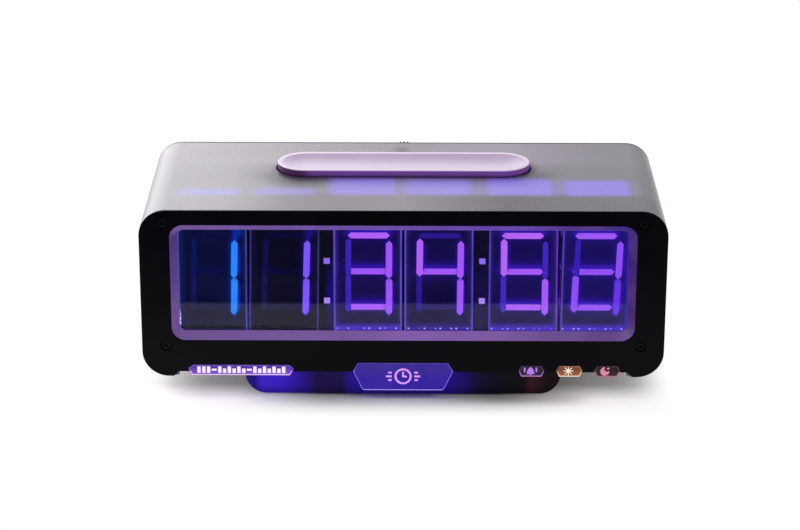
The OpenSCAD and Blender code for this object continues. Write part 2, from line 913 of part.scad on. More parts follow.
module rear_knob()
    color([0.12, 0.12, 0.14])
        difference() {
            rod(0, control_h, knob_dia / 2, body_d + knob_gap, body_d + knob_l);
            rod(0, control_h, 6.8, body_d, body_d + knob_gap + 2.4);
            rod(0, control_h, shaft_r, body_d, body_d + knob_l - 2);
            for (a = [7.5:15:359])
                rod(knob_dia / 2 * cos(a), control_h + knob_dia / 2 * sin(a), 0.6,
                    body_d, body_d + knob_l + 1);
        }

module knob_shaft()
    color([0.75, 0.75, 0.78])
        rod(0, control_h, shaft_r, rear_d - 3, body_d + knob_l - 2);

module encoder()
    color([0.5, 0.5, 0.52])
        difference() {
            union() {
                block(-6, 6, rear_board_d + 1.6, rear_d - 0.5, control_h - 6, control_h + 6);
                rod(0, control_h, bush_r, rear_d - 0.6, body_d + 2.4);
            }
            rod(0, control_h, shaft_r + slide_fit, rear_d - 3, body_d + 3);
        }

module encoder_nut()
    color([0.75, 0.75, 0.78])
        difference() {
            translate([0, y0 + body_d + 2, base_h + control_h])
                rotate([90, 0, 0])
                    cylinder(r = 5.7, h = 2, $fn = 6);
            rod(0, control_h, bush_r + slide_fit, body_d - 1, body_d + 3);
        }

// Button with a collar inside the cover and a stem towards its switch.
module rear_button(x)
    color([0.12, 0.12, 0.14]) {
        rod(x, control_h, button_dia / 2, rear_d - 1, body_d + 1.8);
        rod(x, control_h, button_dia / 2 + 1, rear_d - 1.6, rear_d - 0.1);
        rod(x, control_h, 1.9, rear_board_d + 5.9 + button_travel, rear_d - 1.5);
    }

module mode_button() rear_button(-button_x);
module set_button() rear_button(button_x);

module rear_board()
    color([0.05, 0.25, 0.12])
        difference() {
            block(-button_x - 11, button_x + 11, rear_board_d, rear_board_d + 1.6,
                control_h - 12.5, control_h + 10.2);
            for (sx = [-1, 1], h = [control_h - 9, control_h + 7])
                rod(sx * (button_x + 7), h, m25_r + fit, rear_board_d - 1, rear_board_d + 3);
        }

// The two switches behind the rear buttons and the four screws of the rear board.
module rear_fittings()
    color([0.15, 0.15, 0.16]) {
        both_sides() {
            block(button_x - 3, button_x + 3, rear_board_d + 1.6, rear_board_d + 5.1,
                control_h - 3, control_h + 3);
            rod(button_x, control_h, 1.7, rear_board_d + 5, rear_board_d + 5.9);
        }
        for (sx = [-1, 1], h = [control_h - 9, control_h + 7]) {
            rod(sx * (button_x + 7), h, m25_head, rear_board_d - 1.6, rear_board_d);
            rod(sx * (button_x + 7), h, m25_r, rear_board_d - 0.1, rear_d - 0.2);
        }
    }

front_bezel();
window_frame();
front_pane();
outer_sleeve();
bottom_panel();
rear_cover();
corner_pillars();
bezel_screws();
rear_screws();
digit_1();
digit_2();
digit_3();
digit_4();
digit_5();
digit_6();
lower_comb();
upper_comb();
side_brackets();
rear_mask();
colon_posts();
colon_lights();
colon_boards();
display_board();
display_spacers();
display_leds();
indicator_board();
indicator_leds();
label_plate();
badge_plate();
bell_plate();
sun_plate();
moon_plate();
snooze_bar();
snooze_springs();
snooze_bracket();
snooze_switch();
bracket_screws();
main_board();
board_standoffs();
board_screws();
controller_module();
cell_holder();
coin_cell();
capacitors();
driver_chips();
usb_socket();
link_cable();
base_pod();
base_screws();
ballast_plate();
sounder();
rubber_feet();
rear_knob();
knob_shaft();
encoder();
encoder_nut();
mode_button();
set_button();
rear_board();
rear_fittings();
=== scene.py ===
from math import cos, hypot, pi, radians, sin

import bmesh
import bpy
from mathutils import Matrix, Vector


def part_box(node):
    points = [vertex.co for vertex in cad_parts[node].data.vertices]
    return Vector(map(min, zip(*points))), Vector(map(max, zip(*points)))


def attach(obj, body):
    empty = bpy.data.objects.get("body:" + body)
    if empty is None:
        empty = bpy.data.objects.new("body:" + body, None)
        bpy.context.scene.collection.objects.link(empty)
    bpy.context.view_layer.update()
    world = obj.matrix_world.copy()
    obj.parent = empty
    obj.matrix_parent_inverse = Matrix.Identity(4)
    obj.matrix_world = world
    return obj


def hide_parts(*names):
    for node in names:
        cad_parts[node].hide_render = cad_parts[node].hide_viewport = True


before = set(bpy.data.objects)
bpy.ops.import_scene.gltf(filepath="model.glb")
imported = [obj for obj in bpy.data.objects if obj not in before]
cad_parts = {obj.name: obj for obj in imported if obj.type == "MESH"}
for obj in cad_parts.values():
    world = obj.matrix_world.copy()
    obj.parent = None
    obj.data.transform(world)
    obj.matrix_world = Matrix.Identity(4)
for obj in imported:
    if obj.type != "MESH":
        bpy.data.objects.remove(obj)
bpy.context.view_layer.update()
MM = 0.001

# ---- camera -------------------------------------------------------------------------------------
# A long lens 1.1 m in front of the clock and 0.47 m above the table, tilted down by 21 degrees and
# almost square to the clock's face.
CAMERA_PLACE = Vector((1.57, -1122.3, 465.1)) * MM
CAMERA_PITCH, CAMERA_YAW, CAMERA_ROLL = radians(20.61), radians(0.162), radians(0.113)
CAMERA_LENS = 117.84


def link(name, data):
    """A new object in the scene, at the origin."""
    made = bpy.data.objects.new(name, data)
    bpy.context.scene.collection.objects.link(made)
    return made


camera_data = bpy.data.cameras.new("camera")
camera_data.lens = CAMERA_LENS
camera_data.sensor_width = 36
camera_data.clip_end = 50
camera = link("camera", camera_data)
camera.matrix_world = (
    Matrix.Translation(CAMERA_PLACE)
    @ Matrix.Rotation(CAMERA_YAW, 4, "Z")
    @ Matrix.Rotation(pi / 2 - CAMERA_PITCH, 4, "X")
    @ Matrix.Rotation(CAMERA_ROLL, 4, "Z")
)
bpy.context.scene.camera = camera

# ---- floor, backdrop and light --------------------------------------------------------------------
# A white table under a white surround, a large soft light from the upper left, a tall soft wall
# behind on the left that the glossy sleeve mirrors, a weak fill, and a dark card that only the
# front face and the glass mirror.


def srgb(r, g, b, gain=1.0):
    """A colour as a screen shows it, 0 to 255, as linear light."""
    return tuple(gain * (c / 255 / 12.92 if c <= 10 else ((c / 255 + 0.055) / 1.055) ** 2.4)
                 for c in (r, g, b)) + (1.0,)


def arithmetic(operation, reflected=False):
    """A method that adds one Math node."""
    def method(self, *others):
        values = (*others, self) if reflected else (self, *others)
        return self.finish.node("ShaderNodeMath", {"operation": operation}, dict(enumerate(values)))
    return method


class Wire:
    """A node's output, which takes plain arithmetic."""

    __add__ = arithmetic("ADD")
    __radd__ = arithmetic("ADD", reflected=True)
    __sub__ = arithmetic("SUBTRACT")
    __rsub__ = arithmetic("SUBTRACT", reflected=True)
    __mul__ = arithmetic("MULTIPLY")
    __rmul__ = arithmetic("MULTIPLY", reflected=True)
    __truediv__ = arithmetic("DIVIDE")
    __abs__ = arithmetic("ABSOLUTE")
    above = arithmetic("MAXIMUM")
    below = arithmetic("MINIMUM")
    root = arithmetic("SQRT")
    floor = arithmetic("FLOOR")
    exponent = arithmetic("EXPONENT")
    wrapped = arithmetic("WRAP")

    def __init__(self, finish, socket):
        self.finish, self.socket = finish, socket

    def output(self, name):
        """Another output of the same node."""
        return Wire(self.finish, self.socket.node.outputs[name])

    def decay(self):
        """One where the value is nothing, and less and less as it grows."""
        return (0 - self).exponent()

    def wrap(self, period):
        """The distance to the nearest of many points that stand a period apart."""
        return self.wrapped(period / 2, -period / 2)


class Finish:
    """One material, or the surround, built from nodes on the piece's own coordinates."""

    def __init__(self, name, kind="materials"):
        self.block = getattr(bpy.data, kind).new(name)
        self.block.use_nodes = True
        self.tree = self.block.node_tree
        self.tree.nodes.clear()

    def node(self, kind, settings=None, values=None, out=0):
        """Any node: its settings first, then the values or wires of its sockets."""
        made = self.tree.nodes.new(kind)
        for key, value in (settings or {}).items():
            if key == "stops":
                ends = made.color_ramp.elements
                for element, (place, colour) in zip(ends, (value[0], value[-1])):
                    element.position, element.color = place, colour
                for place, colour in value[1:-1]:
                    ends.new(place).color = colour
            else:
                setattr(made, key, value)
        for key, value in (values or {}).items():
            if isinstance(value, Wire):
                self.tree.links.new(value.socket, made.inputs[key])
            else:
                made.inputs[key].default_value = value
        return Wire(self, made.outputs[out]) if len(made.outputs) else made

    def place(self):
        return self.node("ShaderNodeTexCoord", out="Object")

    def split(self, vector):
        first = self.node("ShaderNodeSeparateXYZ", None, {0: vector})
        return [first.output(i) for i in range(3)]

    def axes(self):
        """The piece's own X, Y and Z in metres."""
        return self.split(self.place())

    def noise(self, scale, detail, stretch=None, roughness=0.5):
        where = self.place()
        if stretch:
            where = self.node("ShaderNodeMapping", None, {"Vector": where, "Scale": stretch})
        return self.node("ShaderNodeTexNoise", None,
                         {"Vector": where, "Scale": scale, "Detail": detail, "Roughness": roughness})

    def specks(self, scale, size, share):
        """Round specks of one size in a share of the cells of a grid that many to the metre."""
        cells = self.node("ShaderNodeTexVoronoi", None, {"Vector": self.place(), "Scale": scale})
        near = self.step(cells, size, size * 0.4)
        chosen = self.node("ShaderNodeTexWhiteNoise", {"noise_dimensions": "3D"},
                           {"Vector": cells.output("Position")})
        return near * self.step(chosen, share, share - 0.01)

    def ramp(self, value, stops):
        return self.node("ShaderNodeValToRGB", {"stops": stops}, {0: value})

    def step(self, value, low, high, to_low=0.0, to_high=1.0):
        """A smooth change from to_low to to_high as value goes from low to high."""
        if low > high:
            low, high, to_low, to_high = high, low, to_high, to_low
        return self.node("ShaderNodeMapRange", {"interpolation_type": "SMOOTHSTEP"},
                         {0: value, 1: low, 2: high, 3: to_low, 4: to_high})

    def band(self, value, low, high, soft):
        """One between low and high, fading to nothing over soft on either side."""
        return self.step(value, low - soft, low + soft) * self.step(value, high + soft, high - soft)

    def mix(self, factor, first, second):
        return self.node("ShaderNodeMix", {"data_type": "RGBA"}, {0: factor, 6: first, 7: second}, out=2)

    def bump(self, height, strength, distance):
        return self.node("ShaderNodeBump", None,
                         {"Height": height, "Strength": strength, "Distance": distance})

    def surface(self, **values):
        """Ends the material in a Principled shader; names use _ for spaces."""
        shader = self.node("ShaderNodeBsdfPrincipled", None,
                           {k.replace("_", " "): v for k, v in values.items()})
        self.node("ShaderNodeOutputMaterial", None, {0: shader})
        return self.block


def stage(name, points, finish):
    """One flat sheet of the set, which is no part of the clock."""
    mesh = bpy.data.meshes.new(name)
    mesh.from_pydata(points, [], [list(range(len(points)))])
    mesh.materials.append(finish)
    piece = link(name, mesh)
    return piece


FLOOR_HALF = 6.0
# The camera sees the table as pure white beyond the edges of the clock's shadow. Each edge is soft
# from its first number to its second, in metres.
SHADOW_MIDDLE, SHADOW_SIDES = 0.0002, (0.103, 0.121)
SHADOW_FRONT, SHADOW_REAR = (-0.053, -0.076), (0.10, 0.22)
# The shadow is deepest in front of the plinth, most at the right, and towards its sides the white
# surround fills it, less under the clock than in front of it.
DEEP_LEFT, DEEP_RIGHT, DEEP_FRONT = (-0.075, -0.06), (0.088, 0.07), (-0.066, -0.054)
FILL_MIDDLE, FILL_SIDES, FILL_FRONT = 0.0035, (0.034, 0.0885), (-0.036, -0.05)

white = Finish("white_table")
x, y, _ = white.axes()
seen = white.node("ShaderNodeLightPath", out="Is Camera Ray")
clear_of_clock = (white.step(abs(x - SHADOW_MIDDLE), *SHADOW_SIDES)
                  .above(white.step(y, *SHADOW_FRONT)).above(white.step(y, *SHADOW_REAR)))
before_plinth = (white.step(x, *DEEP_LEFT) * white.step(x, *DEEP_RIGHT)
                 * white.step(y, *DEEP_FRONT) * white.step(x, 0.008, 0.05, 0.39, 1.0))
paper = white.node("ShaderNodeBsdfDiffuse", None, {
    "Color": white.mix(before_plinth, (0.86, 0.84, 0.847, 1), (0.37, 0.345, 0.355, 1))})
fill = white.node("ShaderNodeEmission", None, {
    "Color": (1, 0.97, 0.977, 1),
    "Strength": (seen * white.step(abs(x - FILL_MIDDLE), *FILL_SIDES)
                 * white.step(y, *FILL_FRONT, 0.17, 0.42))})
near = white.node("ShaderNodeAddShader", None, {0: paper, 1: fill})
bright = white.node("ShaderNodeEmission", None, {"Color": (1, 1, 1, 1), "Strength": 1.0})
table_top = white.node("ShaderNodeMixShader", None, {0: seen * clear_of_clock, 1: near, 2: bright})
white.node("ShaderNodeOutputMaterial", None, {0: table_top})
stage("table", [(-FLOOR_HALF, -FLOOR_HALF, 0), (FLOOR_HALF, -FLOOR_HALF, 0),
                (FLOOR_HALF, FLOOR_HALF, 0), (-FLOOR_HALF, FLOOR_HALF, 0)], white.block)

# The dark card stands before the clock and leans towards the camera.
CARD_HALF, CARD_FOOT_Y, CARD_LEAN, CARD_HEIGHT = 0.9, -0.162, 0.3, 1.2
card_top_y = CARD_FOOT_Y - CARD_LEAN
card_finish = Finish("dark_card")
card = stage("dark_card", [(-CARD_HALF, CARD_FOOT_Y, 0.0), (CARD_HALF, CARD_FOOT_Y, 0.0),
                           (CARD_HALF, card_top_y, CARD_HEIGHT), (-CARD_HALF, card_top_y, CARD_HEIGHT)],
             card_finish.surface(Base_Color=srgb(14, 14, 16), Roughness=1.0, Specular_IOR_Level=0.0))
card.visible_camera = card.visible_diffuse = card.visible_shadow = False

# The surround is pure white to the camera and through glass, and a weaker light to all else.
SURROUND_LIGHT = 0.42
sky = Finish("surround", "worlds")
direct = sky.node("ShaderNodeLightPath", out="Is Camera Ray")
strength = sky.node("ShaderNodeMapRange", None, {
    0: direct.above(direct.output("Is Transmission Ray")), 3: SURROUND_LIGHT, 4: 1.0})
backdrop = sky.node("ShaderNodeBackground", None, {0: (1, 1, 1, 1), 1: strength})
sky.node("ShaderNodeOutputWorld", None, {0: backdrop})
bpy.context.scene.world = sky.block


def softbox(name, place, target, width, height, power):
    """A soft oblong lamp that lights the clock but isn't seen."""
    data = bpy.data.lights.new(name, "AREA")
    data.shape = "RECTANGLE"
    data.size, data.size_y, data.energy = width, height, power
    lamp = link(name, data)
    lamp.location = place
    lamp.rotation_euler = (Vector(target) - Vector(place)).to_track_quat("-Z", "Y").to_euler()
    lamp.visible_camera = False


softbox("key_light", (-0.75, 0.15, 1.00), (0, 0, 0.05), 1.3, 1.3, 12)
softbox("fill_light", (0.9, -0.7, 1.1), (0, 0, 0.05), 0.8, 0.8, 4)
softbox("rear_light", (-0.78, 1.05, 0.45), (-0.05, 0, 0.08), 1.5, 1.0, 9)
bpy.context.scene.view_settings.view_transform = "Standard"

# ---- front bezel ----------------------------------------------------------------------------------
# One satin-black plate with rounded corners, cut out for the window and for the lit plates along its
# bottom edge. A thin lip covers the end of the sleeve, and its edges are broken.


def joined(name, node):
    """A copy of a CAD node as one clean mesh, to be finished and to stand for that node."""
    piece = link(name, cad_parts[node].data.copy())
    form = bmesh.new()
    form.from_mesh(piece.data)
    bmesh.ops.remove_doubles(form, verts=form.verts, dist=1e-6)
    bmesh.ops.dissolve_limit(form, angle_limit=radians(1.5), verts=form.verts, edges=form.edges)
    form.to_mesh(piece.data)
    form.free()
    return piece


def settled(piece):
    """The piece as its modifiers leave it, with the modifiers gone."""
    bpy.context.view_layer.update()
    made = bpy.data.meshes.new_from_object(piece.evaluated_get(bpy.context.evaluated_depsgraph_get()))
    piece.modifiers.clear()
    piece.data = made
    return piece


def broken_edges(piece, width, segments=2):
    """Rounds the piece's sharp edges and shades the rest smoothly."""
    bevel = piece.modifiers.new("edge", "BEVEL")
    bevel.width, bevel.segments = width, segments
    bevel.limit_method, bevel.angle_limit = "ANGLE", radians(35)
    settled(piece)
    piece.data.shade_smooth()
    piece.data.set_sharp_from_angle(angle=radians(28))
    piece.modifiers.new("flat_faces", "WEIGHTED_NORMAL").keep_sharp = True
    return settled(piece)


def dress(piece, finish, body=None, replaces=()):
    """Gives a piece its one material and its place among the moving bodies."""
    piece.data.materials.clear()
    piece.data.materials.append(finish)
    for face in piece.data.polygons:
        face.material_index = 0
    if body:
        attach(piece, body)
    if replaces:
        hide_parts(*replaces)
    return piece


def refined(node, finish, width, segments=2, body="housing"):
    """A CAD node with its edges broken by a width in millimetres, in its finish."""
    piece = broken_edges(joined(node + "_finished", node), width * MM, segments)
    return dress(piece, finish, body, (node,))


satin = Finish("satin_black")
grain = satin.noise(2200, 3)
smudge = satin.noise(14, 3, roughness=0.6)
x, _, height = satin.axes()
# Light from the label and from the sun plate strays along the lowest edge.
stray = satin.ramp((x + 0.1) / 0.2, [
    (0.24, (0, 0, 0, 1)), (0.27, srgb(62, 40, 170)), (0.36, srgb(40, 26, 118)),
    (0.42, (0, 0, 0, 1)), (0.79, (0, 0, 0, 1)), (0.83, srgb(96, 52, 60)), (0.85, srgb(70, 40, 52)),
    (0.95, (0, 0, 0, 1))])
satin_black = satin.surface(
    Base_Color=satin.mix(satin.step(smudge, 0.35, 0.7), srgb(7, 6, 12), srgb(12, 11, 17)),
    Roughness=satin.step(smudge, 0.3, 0.75, 0.30, 0.42) + grain * 0.05,
    Specular_IOR_Level=0.08,
    Emission_Color=satin.mix(satin.step(height, 13.1 * MM, 12.7 * MM), (0, 0, 0, 1), stray),
    Normal=satin.bump(grain, 0.12, 0.00005))
refined("front_bezel", satin_black, 0.28, 3)

# ---- bezel and rear screws ----------------------------------------------------------------------------
# Black socket-head screws, sunk in at the four corners, hold the bezel and the rear cover to the
# pillars. No two hexagons stop at the same angle.


class Pattern(Finish):
    """A Geometry Nodes tree that makes one kind of repeated piece from named sizes."""

    KINDS = {float: "NodeSocketFloat", int: "NodeSocketInt", tuple: "NodeSocketVector",
             str: "NodeSocketObject"}

    def __init__(self, name, **sizes):
        self.tree = bpy.data.node_groups.new(name, "GeometryNodeTree")
        sockets = self.tree.interface
        sockets.new_socket("Geometry", in_out="OUTPUT", socket_type="NodeSocketGeometry")
        sockets.new_socket("Geometry", in_out="INPUT", socket_type="NodeSocketGeometry")
        finish = sockets.new_socket("Finish", in_out="INPUT", socket_type="NodeSocketMaterial")
        self.identifiers = {"Finish": finish.identifier}
        for label, value in sizes.items():
            made = sockets.new_socket(label, in_out="INPUT", socket_type=self.KINDS[type(value)])
            if not isinstance(value, str):
                made.default_value = value
            self.identifiers[label] = made.identifier
        self.inlet = self.tree.nodes.new("NodeGroupInput")

    def size(self, label):
        return Wire(self, self.inlet.outputs[label])

    def ends(self, geometry):
        whole = self.node("GeometryNodeRealizeInstances", None, {0: geometry})
        whole = self.node("GeometryNodeSetMaterial", None, {0: whole, "Material": self.size("Finish")})
        self.node("NodeGroupOutput", None, {0: whole})

    def grow(self, name, finish, points=((0, 0, 0),), **sizes):
        """A plain mesh piece of the pattern, with its points as given."""
        mesh = bpy.data.meshes.new(name)
        mesh.from_pydata(points, [], [])
        piece = link(name, mesh)
        modifier = piece.modifiers.new(name, "NODES")
        modifier.node_group = self.tree
        for label, value in (("Finish", finish), *sizes.items()):
            modifier[self.identifiers[label]] = value
        settled(piece)
        piece.data.set_sharp_from_angle(angle=radians(32))
        return piece


# Copies of one made part on each point, each turned by its own share of a turn about an axis.
set_out = Pattern("set_out", Part="part", About=(0.0, 0.0, 0.0), Turn=2 * pi, Seed=1)
chance = set_out.node("FunctionNodeRandomValue", {"data_type": "FLOAT"},
                      {2: 0.0, 3: set_out.size("Turn"), "Seed": set_out.size("Seed")}, out=1)
angle = set_out.node("ShaderNodeVectorMath", {"operation": "SCALE"},
                     {0: set_out.size("About"), "Scale": chance})
part = set_out.node("GeometryNodeObjectInfo", None, {"Object": set_out.size("Part")}, out="Geometry")
set_out.ends(set_out.node("GeometryNodeInstanceOnPoints", None,
                          {"Points": set_out.size("Geometry"), "Instance": part, "Rotation": angle}))


def piece_of(name, form):
    """A piece with the form as its mesh."""
    mesh = bpy.data.meshes.new(name)
    form.to_mesh(mesh)
    form.free()
    return link(name, mesh)


def solid_of(name, form):
    """A closed piece with its faces pointing outwards."""
    bmesh.ops.recalc_face_normals(form, faces=form.faces)
    return piece_of(name, form)


def turned(profile, steps, socket=0.0, depth=0.0, axis="Y"):
    """A part turned about its axis from (radius, height) pairs in millimetres, which run from its
    foot to its top, with a hexagon socket in the top. It faces -Y, or +Z where axis is Z."""
    form = bmesh.new()
    angles = [2 * pi * i / steps for i in range(steps)]
    loops = [[form.verts.new((radius * MM * cos(a), radius * MM * sin(a), height * MM)) for a in angles]
             for radius, height in profile]
    if socket:
        top = profile[-1][1]
        flats = [socket * cos(pi / 6) / cos((a + pi / 6) % (pi / 3) - pi / 6) * MM for a in angles]
        loops += [[form.verts.new((reach * cos(a), reach * sin(a), height * MM))
                   for reach, a in zip(flats, angles)] for height in (top, top - depth)]
    for first, second in zip(loops, loops[1:]):
        for i in range(steps):
            j = (i + 1) % steps
            form.faces.new((first[i], first[j], second[j], second[i]))
    form.faces.new(loops[0])
    form.faces.new(loops[-1])
    if axis == "Y":
        form.transform(Matrix.Rotation(pi / 2, 4, "X"))
    part = solid_of("turned_part", form)
    part.data.shade_smooth()
    return part


def fasten(node, finish, points, head, axis, seed, flip=False):
    """Screws of one kind, set out on their points in place of their CAD node."""
    if flip:
        head.data.transform(Matrix.Rotation(pi, 4, "X"))
    screws = set_out.grow(node + "_finished", finish, points, Part=head, About=axis, Seed=seed)
    bpy.data.objects.remove(head)
    dress(screws, finish, "housing", (node,))


blackened = Finish("blackened_steel")
speck = blackened.noise(1400, 3)
worn = blackened.noise(260, 2)
blackened_steel = blackened.surface(
    Base_Color=blackened.mix(blackened.step(worn, 0.45, 0.75), srgb(20, 20, 23), srgb(30, 30, 34)),
    Roughness=blackened.step(speck, 0.3, 0.7, 0.34, 0.5), Metallic=0.2, Specular_IOR_Level=0.15,
    Normal=blackened.bump(speck, 0.2, 0.00004))

SCREW_X, SCREW_LOW, SCREW_TOP = 104.5 * MM, 25.5 * MM, 82.4 * MM
CORNERS = [(sx * SCREW_X, sz) for sx in (-1, 1) for sz in (SCREW_LOW, SCREW_TOP)]
cap_head = [(1.2, -12), (1.2, -1.8), (1.25, -1.8), (2.2, -1.75), (2.2, -0.25), (2.05, -0.06), (1.9, 0)]
for node, face_y, shank, seed, flip in (("bezel_screws", -54.4 * MM, 12, 3, False),
                                        ("rear_screws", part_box("rear_screws")[1].y, 10, 5, True)):
    head = turned([(r, max(h, -shank)) for r, h in cap_head], 36, 1.15, 1.0)
    fasten(node, blackened_steel, [(cx, face_y, cz) for cx, cz in CORNERS], head,
           (0.0, 1.0, 0.0), seed, flip)

# ---- coloured window frame --------------------------------------------------------------------------
# A ring of violet clear sheet set into the bezel. Its inner side slopes back to the pane, and light
# from the digits makes it glow, most along the bottom.
frame_low, frame_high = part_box("window_frame")

violet = Finish("violet_sheet")
x, _, z = violet.axes()
mottle = violet.noise(60, 2)
low_tone = violet.ramp(violet.step(x, -0.1, 0.1), [
    (0.0, srgb(104, 75, 138)), (0.35, srgb(112, 80, 148)), (0.5, srgb(122, 86, 164)),
    (0.8, srgb(120, 86, 158)), (1.0, srgb(92, 64, 128))])
top_tone = violet.ramp(violet.step(x, -0.1, 0.1), [
    (0.0, srgb(112, 80, 148)), (0.3, srgb(100, 72, 158)), (0.85, srgb(96, 62, 168)),
    (1.0, srgb(58, 36, 116))])
risen = violet.step(z, 0.038, 0.066)
side_tone = violet.mix(violet.step(x, 0.05, 0.098),
                       violet.mix(risen, srgb(106, 76, 142), srgb(74, 48, 120)),
                       violet.mix(risen, srgb(66, 40, 110), srgb(48, 20, 104)))
tone = violet.mix(violet.step(z, frame_low.z + 2.5 * MM, frame_low.z + 7 * MM), low_tone, side_tone)
tone = violet.mix(violet.step(z, frame_high.z - 6 * MM, frame_high.z - 2.5 * MM), tone, top_tone)
tone = violet.mix(violet.step(mottle, 0.3, 0.7) * 0.12, tone, srgb(150, 120, 190))
violet_sheet = violet.surface(
    Base_Color=violet.mix(0.55, tone, (0, 0, 0, 1)), Emission_Color=tone, Emission_Strength=0.72,
    Roughness=0.32 + mottle * 0.08, Specular_IOR_Level=0.25)
refined("window_frame", violet_sheet, 0.12, 2)

# ---- front pane -------------------------------------------------------------------------------------
# A clear 2 mm pane clamped behind the bezel by the four corner screws. The white table mirrors in
# its lower part.
clear = Finish("clear_pane")
wipe = clear.noise(30, 4, (1, 1, 0.3))
pane_glass = clear.surface(
    Base_Color=(1, 1, 1, 1), Transmission_Weight=1.0, IOR=1.49,
    Roughness=clear.step(wipe, 0.45, 0.85, 0.0, 0.004), Specular_Tint=(0.35, 0.34, 0.42, 1))
refined("front_pane", pane_glass, 0.15, 1)

# ---- digits -----------------------------------------------------------------------------------------
# Each digit is seven clear plates in a row. Each plate carries one segment as a pointed engraving on
# its rear face, and shows it when the row of lamps under that plate is lit. The display reads
# 11 34 52.
SEGMENT_LENGTH, SEGMENT_WIDTH = 17.9 * MM, 2.75 * MM
SEGMENT_SIDE, DIGIT_MIDDLE = 9.25 * MM, 47.5 * MM
PLATE_STEP, PLATE_THICKNESS, LAMP_PITCH = 3 * MM, 2.9 * MM, 7.1 * MM
PLATE_ORDER = "bcfeagd"
SEGMENT_PLACE = {"a": (0, 18.0), "b": (1, 9.5), "c": (1, -8.7), "d": (0, -17.4), "e": (-1, -8.65),
                 "f": (-1, 9.1), "g": (0, 0.3)}
# How far each digit leans to the right, and how far its left, middle and right marks stand off.
LEAN = [0.032, 0.038, 0.003, 0.007, -0.007, 0.03]
STANDING_OFF = [(0.8, 0.3, 0.28), (0.8, 0.4, 0.55), (0.87, 0.4, 0.18), (0.78, 0.3, 0.11),
                (1.2, 0.25, 0.63), (1.67, 0.35, 1.26)]
SHOWN = ["bc", "bc", "abcdg", "bcfg", "acdfg", "abcdeg"]
# Each digit's colours: its lit segments, the light round them, its unlit segments, which glow with
# painted stray light, the painted glow of the dark depth behind them, and the dust in it, painted as
# lit specks.
LIT = [srgb(42, 138, 254), srgb(128, 88, 254), srgb(172, 94, 252), srgb(174, 95, 252),
       srgb(178, 99, 250), srgb(156, 86, 250)]
HALO = [srgb(12, 62, 214), srgb(42, 24, 160), srgb(54, 22, 178), srgb(52, 21, 174),
        srgb(58, 26, 184), srgb(60, 30, 190)]
UNLIT_GLOW = [srgb(12, 20, 80), srgb(18, 15, 62), srgb(60, 36, 182), srgb(42, 25, 138),
         srgb(68, 39, 188), srgb(57, 32, 180)]
DEPTH_GLOW = [srgb(10, 14, 52), srgb(10, 10, 32), srgb(19, 12, 66), srgb(19, 13, 70), srgb(21, 14, 76),
        srgb(23, 15, 86)]
DUST_AND_GLINT = [srgb(40, 62, 176), srgb(64, 56, 150), srgb(92, 62, 204), srgb(76, 54, 176),
        srgb(92, 64, 200), srgb(84, 60, 196)]
# Segments that differ from the rest of their digit, and how pale each one is when it is lit.
PARTLY_LIT = {(5, "c"): srgb(112, 58, 234), (0, "e"): srgb(18, 19, 66), (1, "e"): srgb(20, 17, 56),
              (3, "d"): srgb(34, 20, 98)}
PALENESS = {"a": 1.08, "b": 0.9, "c": 0.87, "d": 1.0, "e": 0.86, "f": 1.1, "g": 0.9}
LAMP_HAZE = srgb(84, 56, 228)
# The lit sides of each digit's plates, left and right: their place at the foot and at the head in
# millimetres, how strong the glow beside them is, and their colour.
SIDES = [[(-100.15, -100.0, 0.3, srgb(70, 90, 190)), (-70.3, -69.65, 0.25, srgb(66, 76, 176))],
         [(-68.85, -67.5, 0.25, srgb(66, 56, 150)), (-38.4, -37.35, 0.2, srgb(62, 54, 134))],
         [(-30.8, -30.75, 0.75, srgb(102, 72, 216)), (-1.0, -1.0, 0.35, srgb(108, 84, 222))],
         [(0.85, 0.75, 0.35, srgb(108, 84, 228)), (30.9, 30.6, 0.3, srgb(92, 72, 208))],
         [(38.5, 38.3, 0.3, srgb(94, 72, 205)), (68.7, 68.1, 0.6, srgb(108, 62, 206))],
         [(70.7, 71.1, 0.3, srgb(90, 68, 200)), (100.0, 99.9, 1.0, srgb(64, 34, 190))]]

# One closed block of plates, with a fine groove at each joint.
stack = Pattern("plate_stack", Plates=7, Step=PLATE_STEP, Thickness=PLATE_THICKNESS, Width=0.03,
                Height=0.06, Groove=0.35 * MM, Edge=0.12 * MM, Place=(0.0, 0.0, 0.0))
path_line = stack.node("GeometryNodeCurvePrimitiveLine", None, {"End": (0.0, 1.0, 0.0)})
path_line = stack.node("GeometryNodeResampleCurve", None,
                       {0: path_line, "Count": stack.size("Plates") * 4})
turn = stack.node("GeometryNodeInputIndex")
plate = (turn / 4).floor()
corner = turn - plate * 4
rear_half = (corner / 2).floor()
inner = 1 - abs(corner - 1.5).floor()
along = (plate * stack.size("Step") + rear_half * stack.size("Thickness")
         + inner * (1 - 2 * rear_half) * stack.size("Edge"))
where = stack.node("ShaderNodeCombineXYZ", None, {"Y": along})
path_line = stack.node("GeometryNodeSetPosition", None, {0: path_line, "Position": where})
outline = stack.node("GeometryNodeCurvePrimitiveQuadrilateral", None,
                     {"Width": stack.size("Width"), "Height": stack.size("Height")})
block = stack.node("GeometryNodeCurveToMesh", None, {
    0: path_line, 1: outline, "Fill Caps": True,
    "Scale": 1 - (1 - inner) * (stack.size("Groove") * 2 / stack.size("Width"))})
stack.ends(stack.node("GeometryNodeTransform", None,
                      {0: block, "Translation": stack.size("Place")}))


def scaled(colour, gain, alpha=1.0):
    """The colour made darker or brighter."""
    return tuple(gain * c for c in colour[:3]) + (alpha,)


def oblong(x1, z1, x2, z2):
    """The outline of an upright oblong between two opposite corners."""
    return [(x1, z1), (x2, z1), (x2, z2), (x1, z2)]


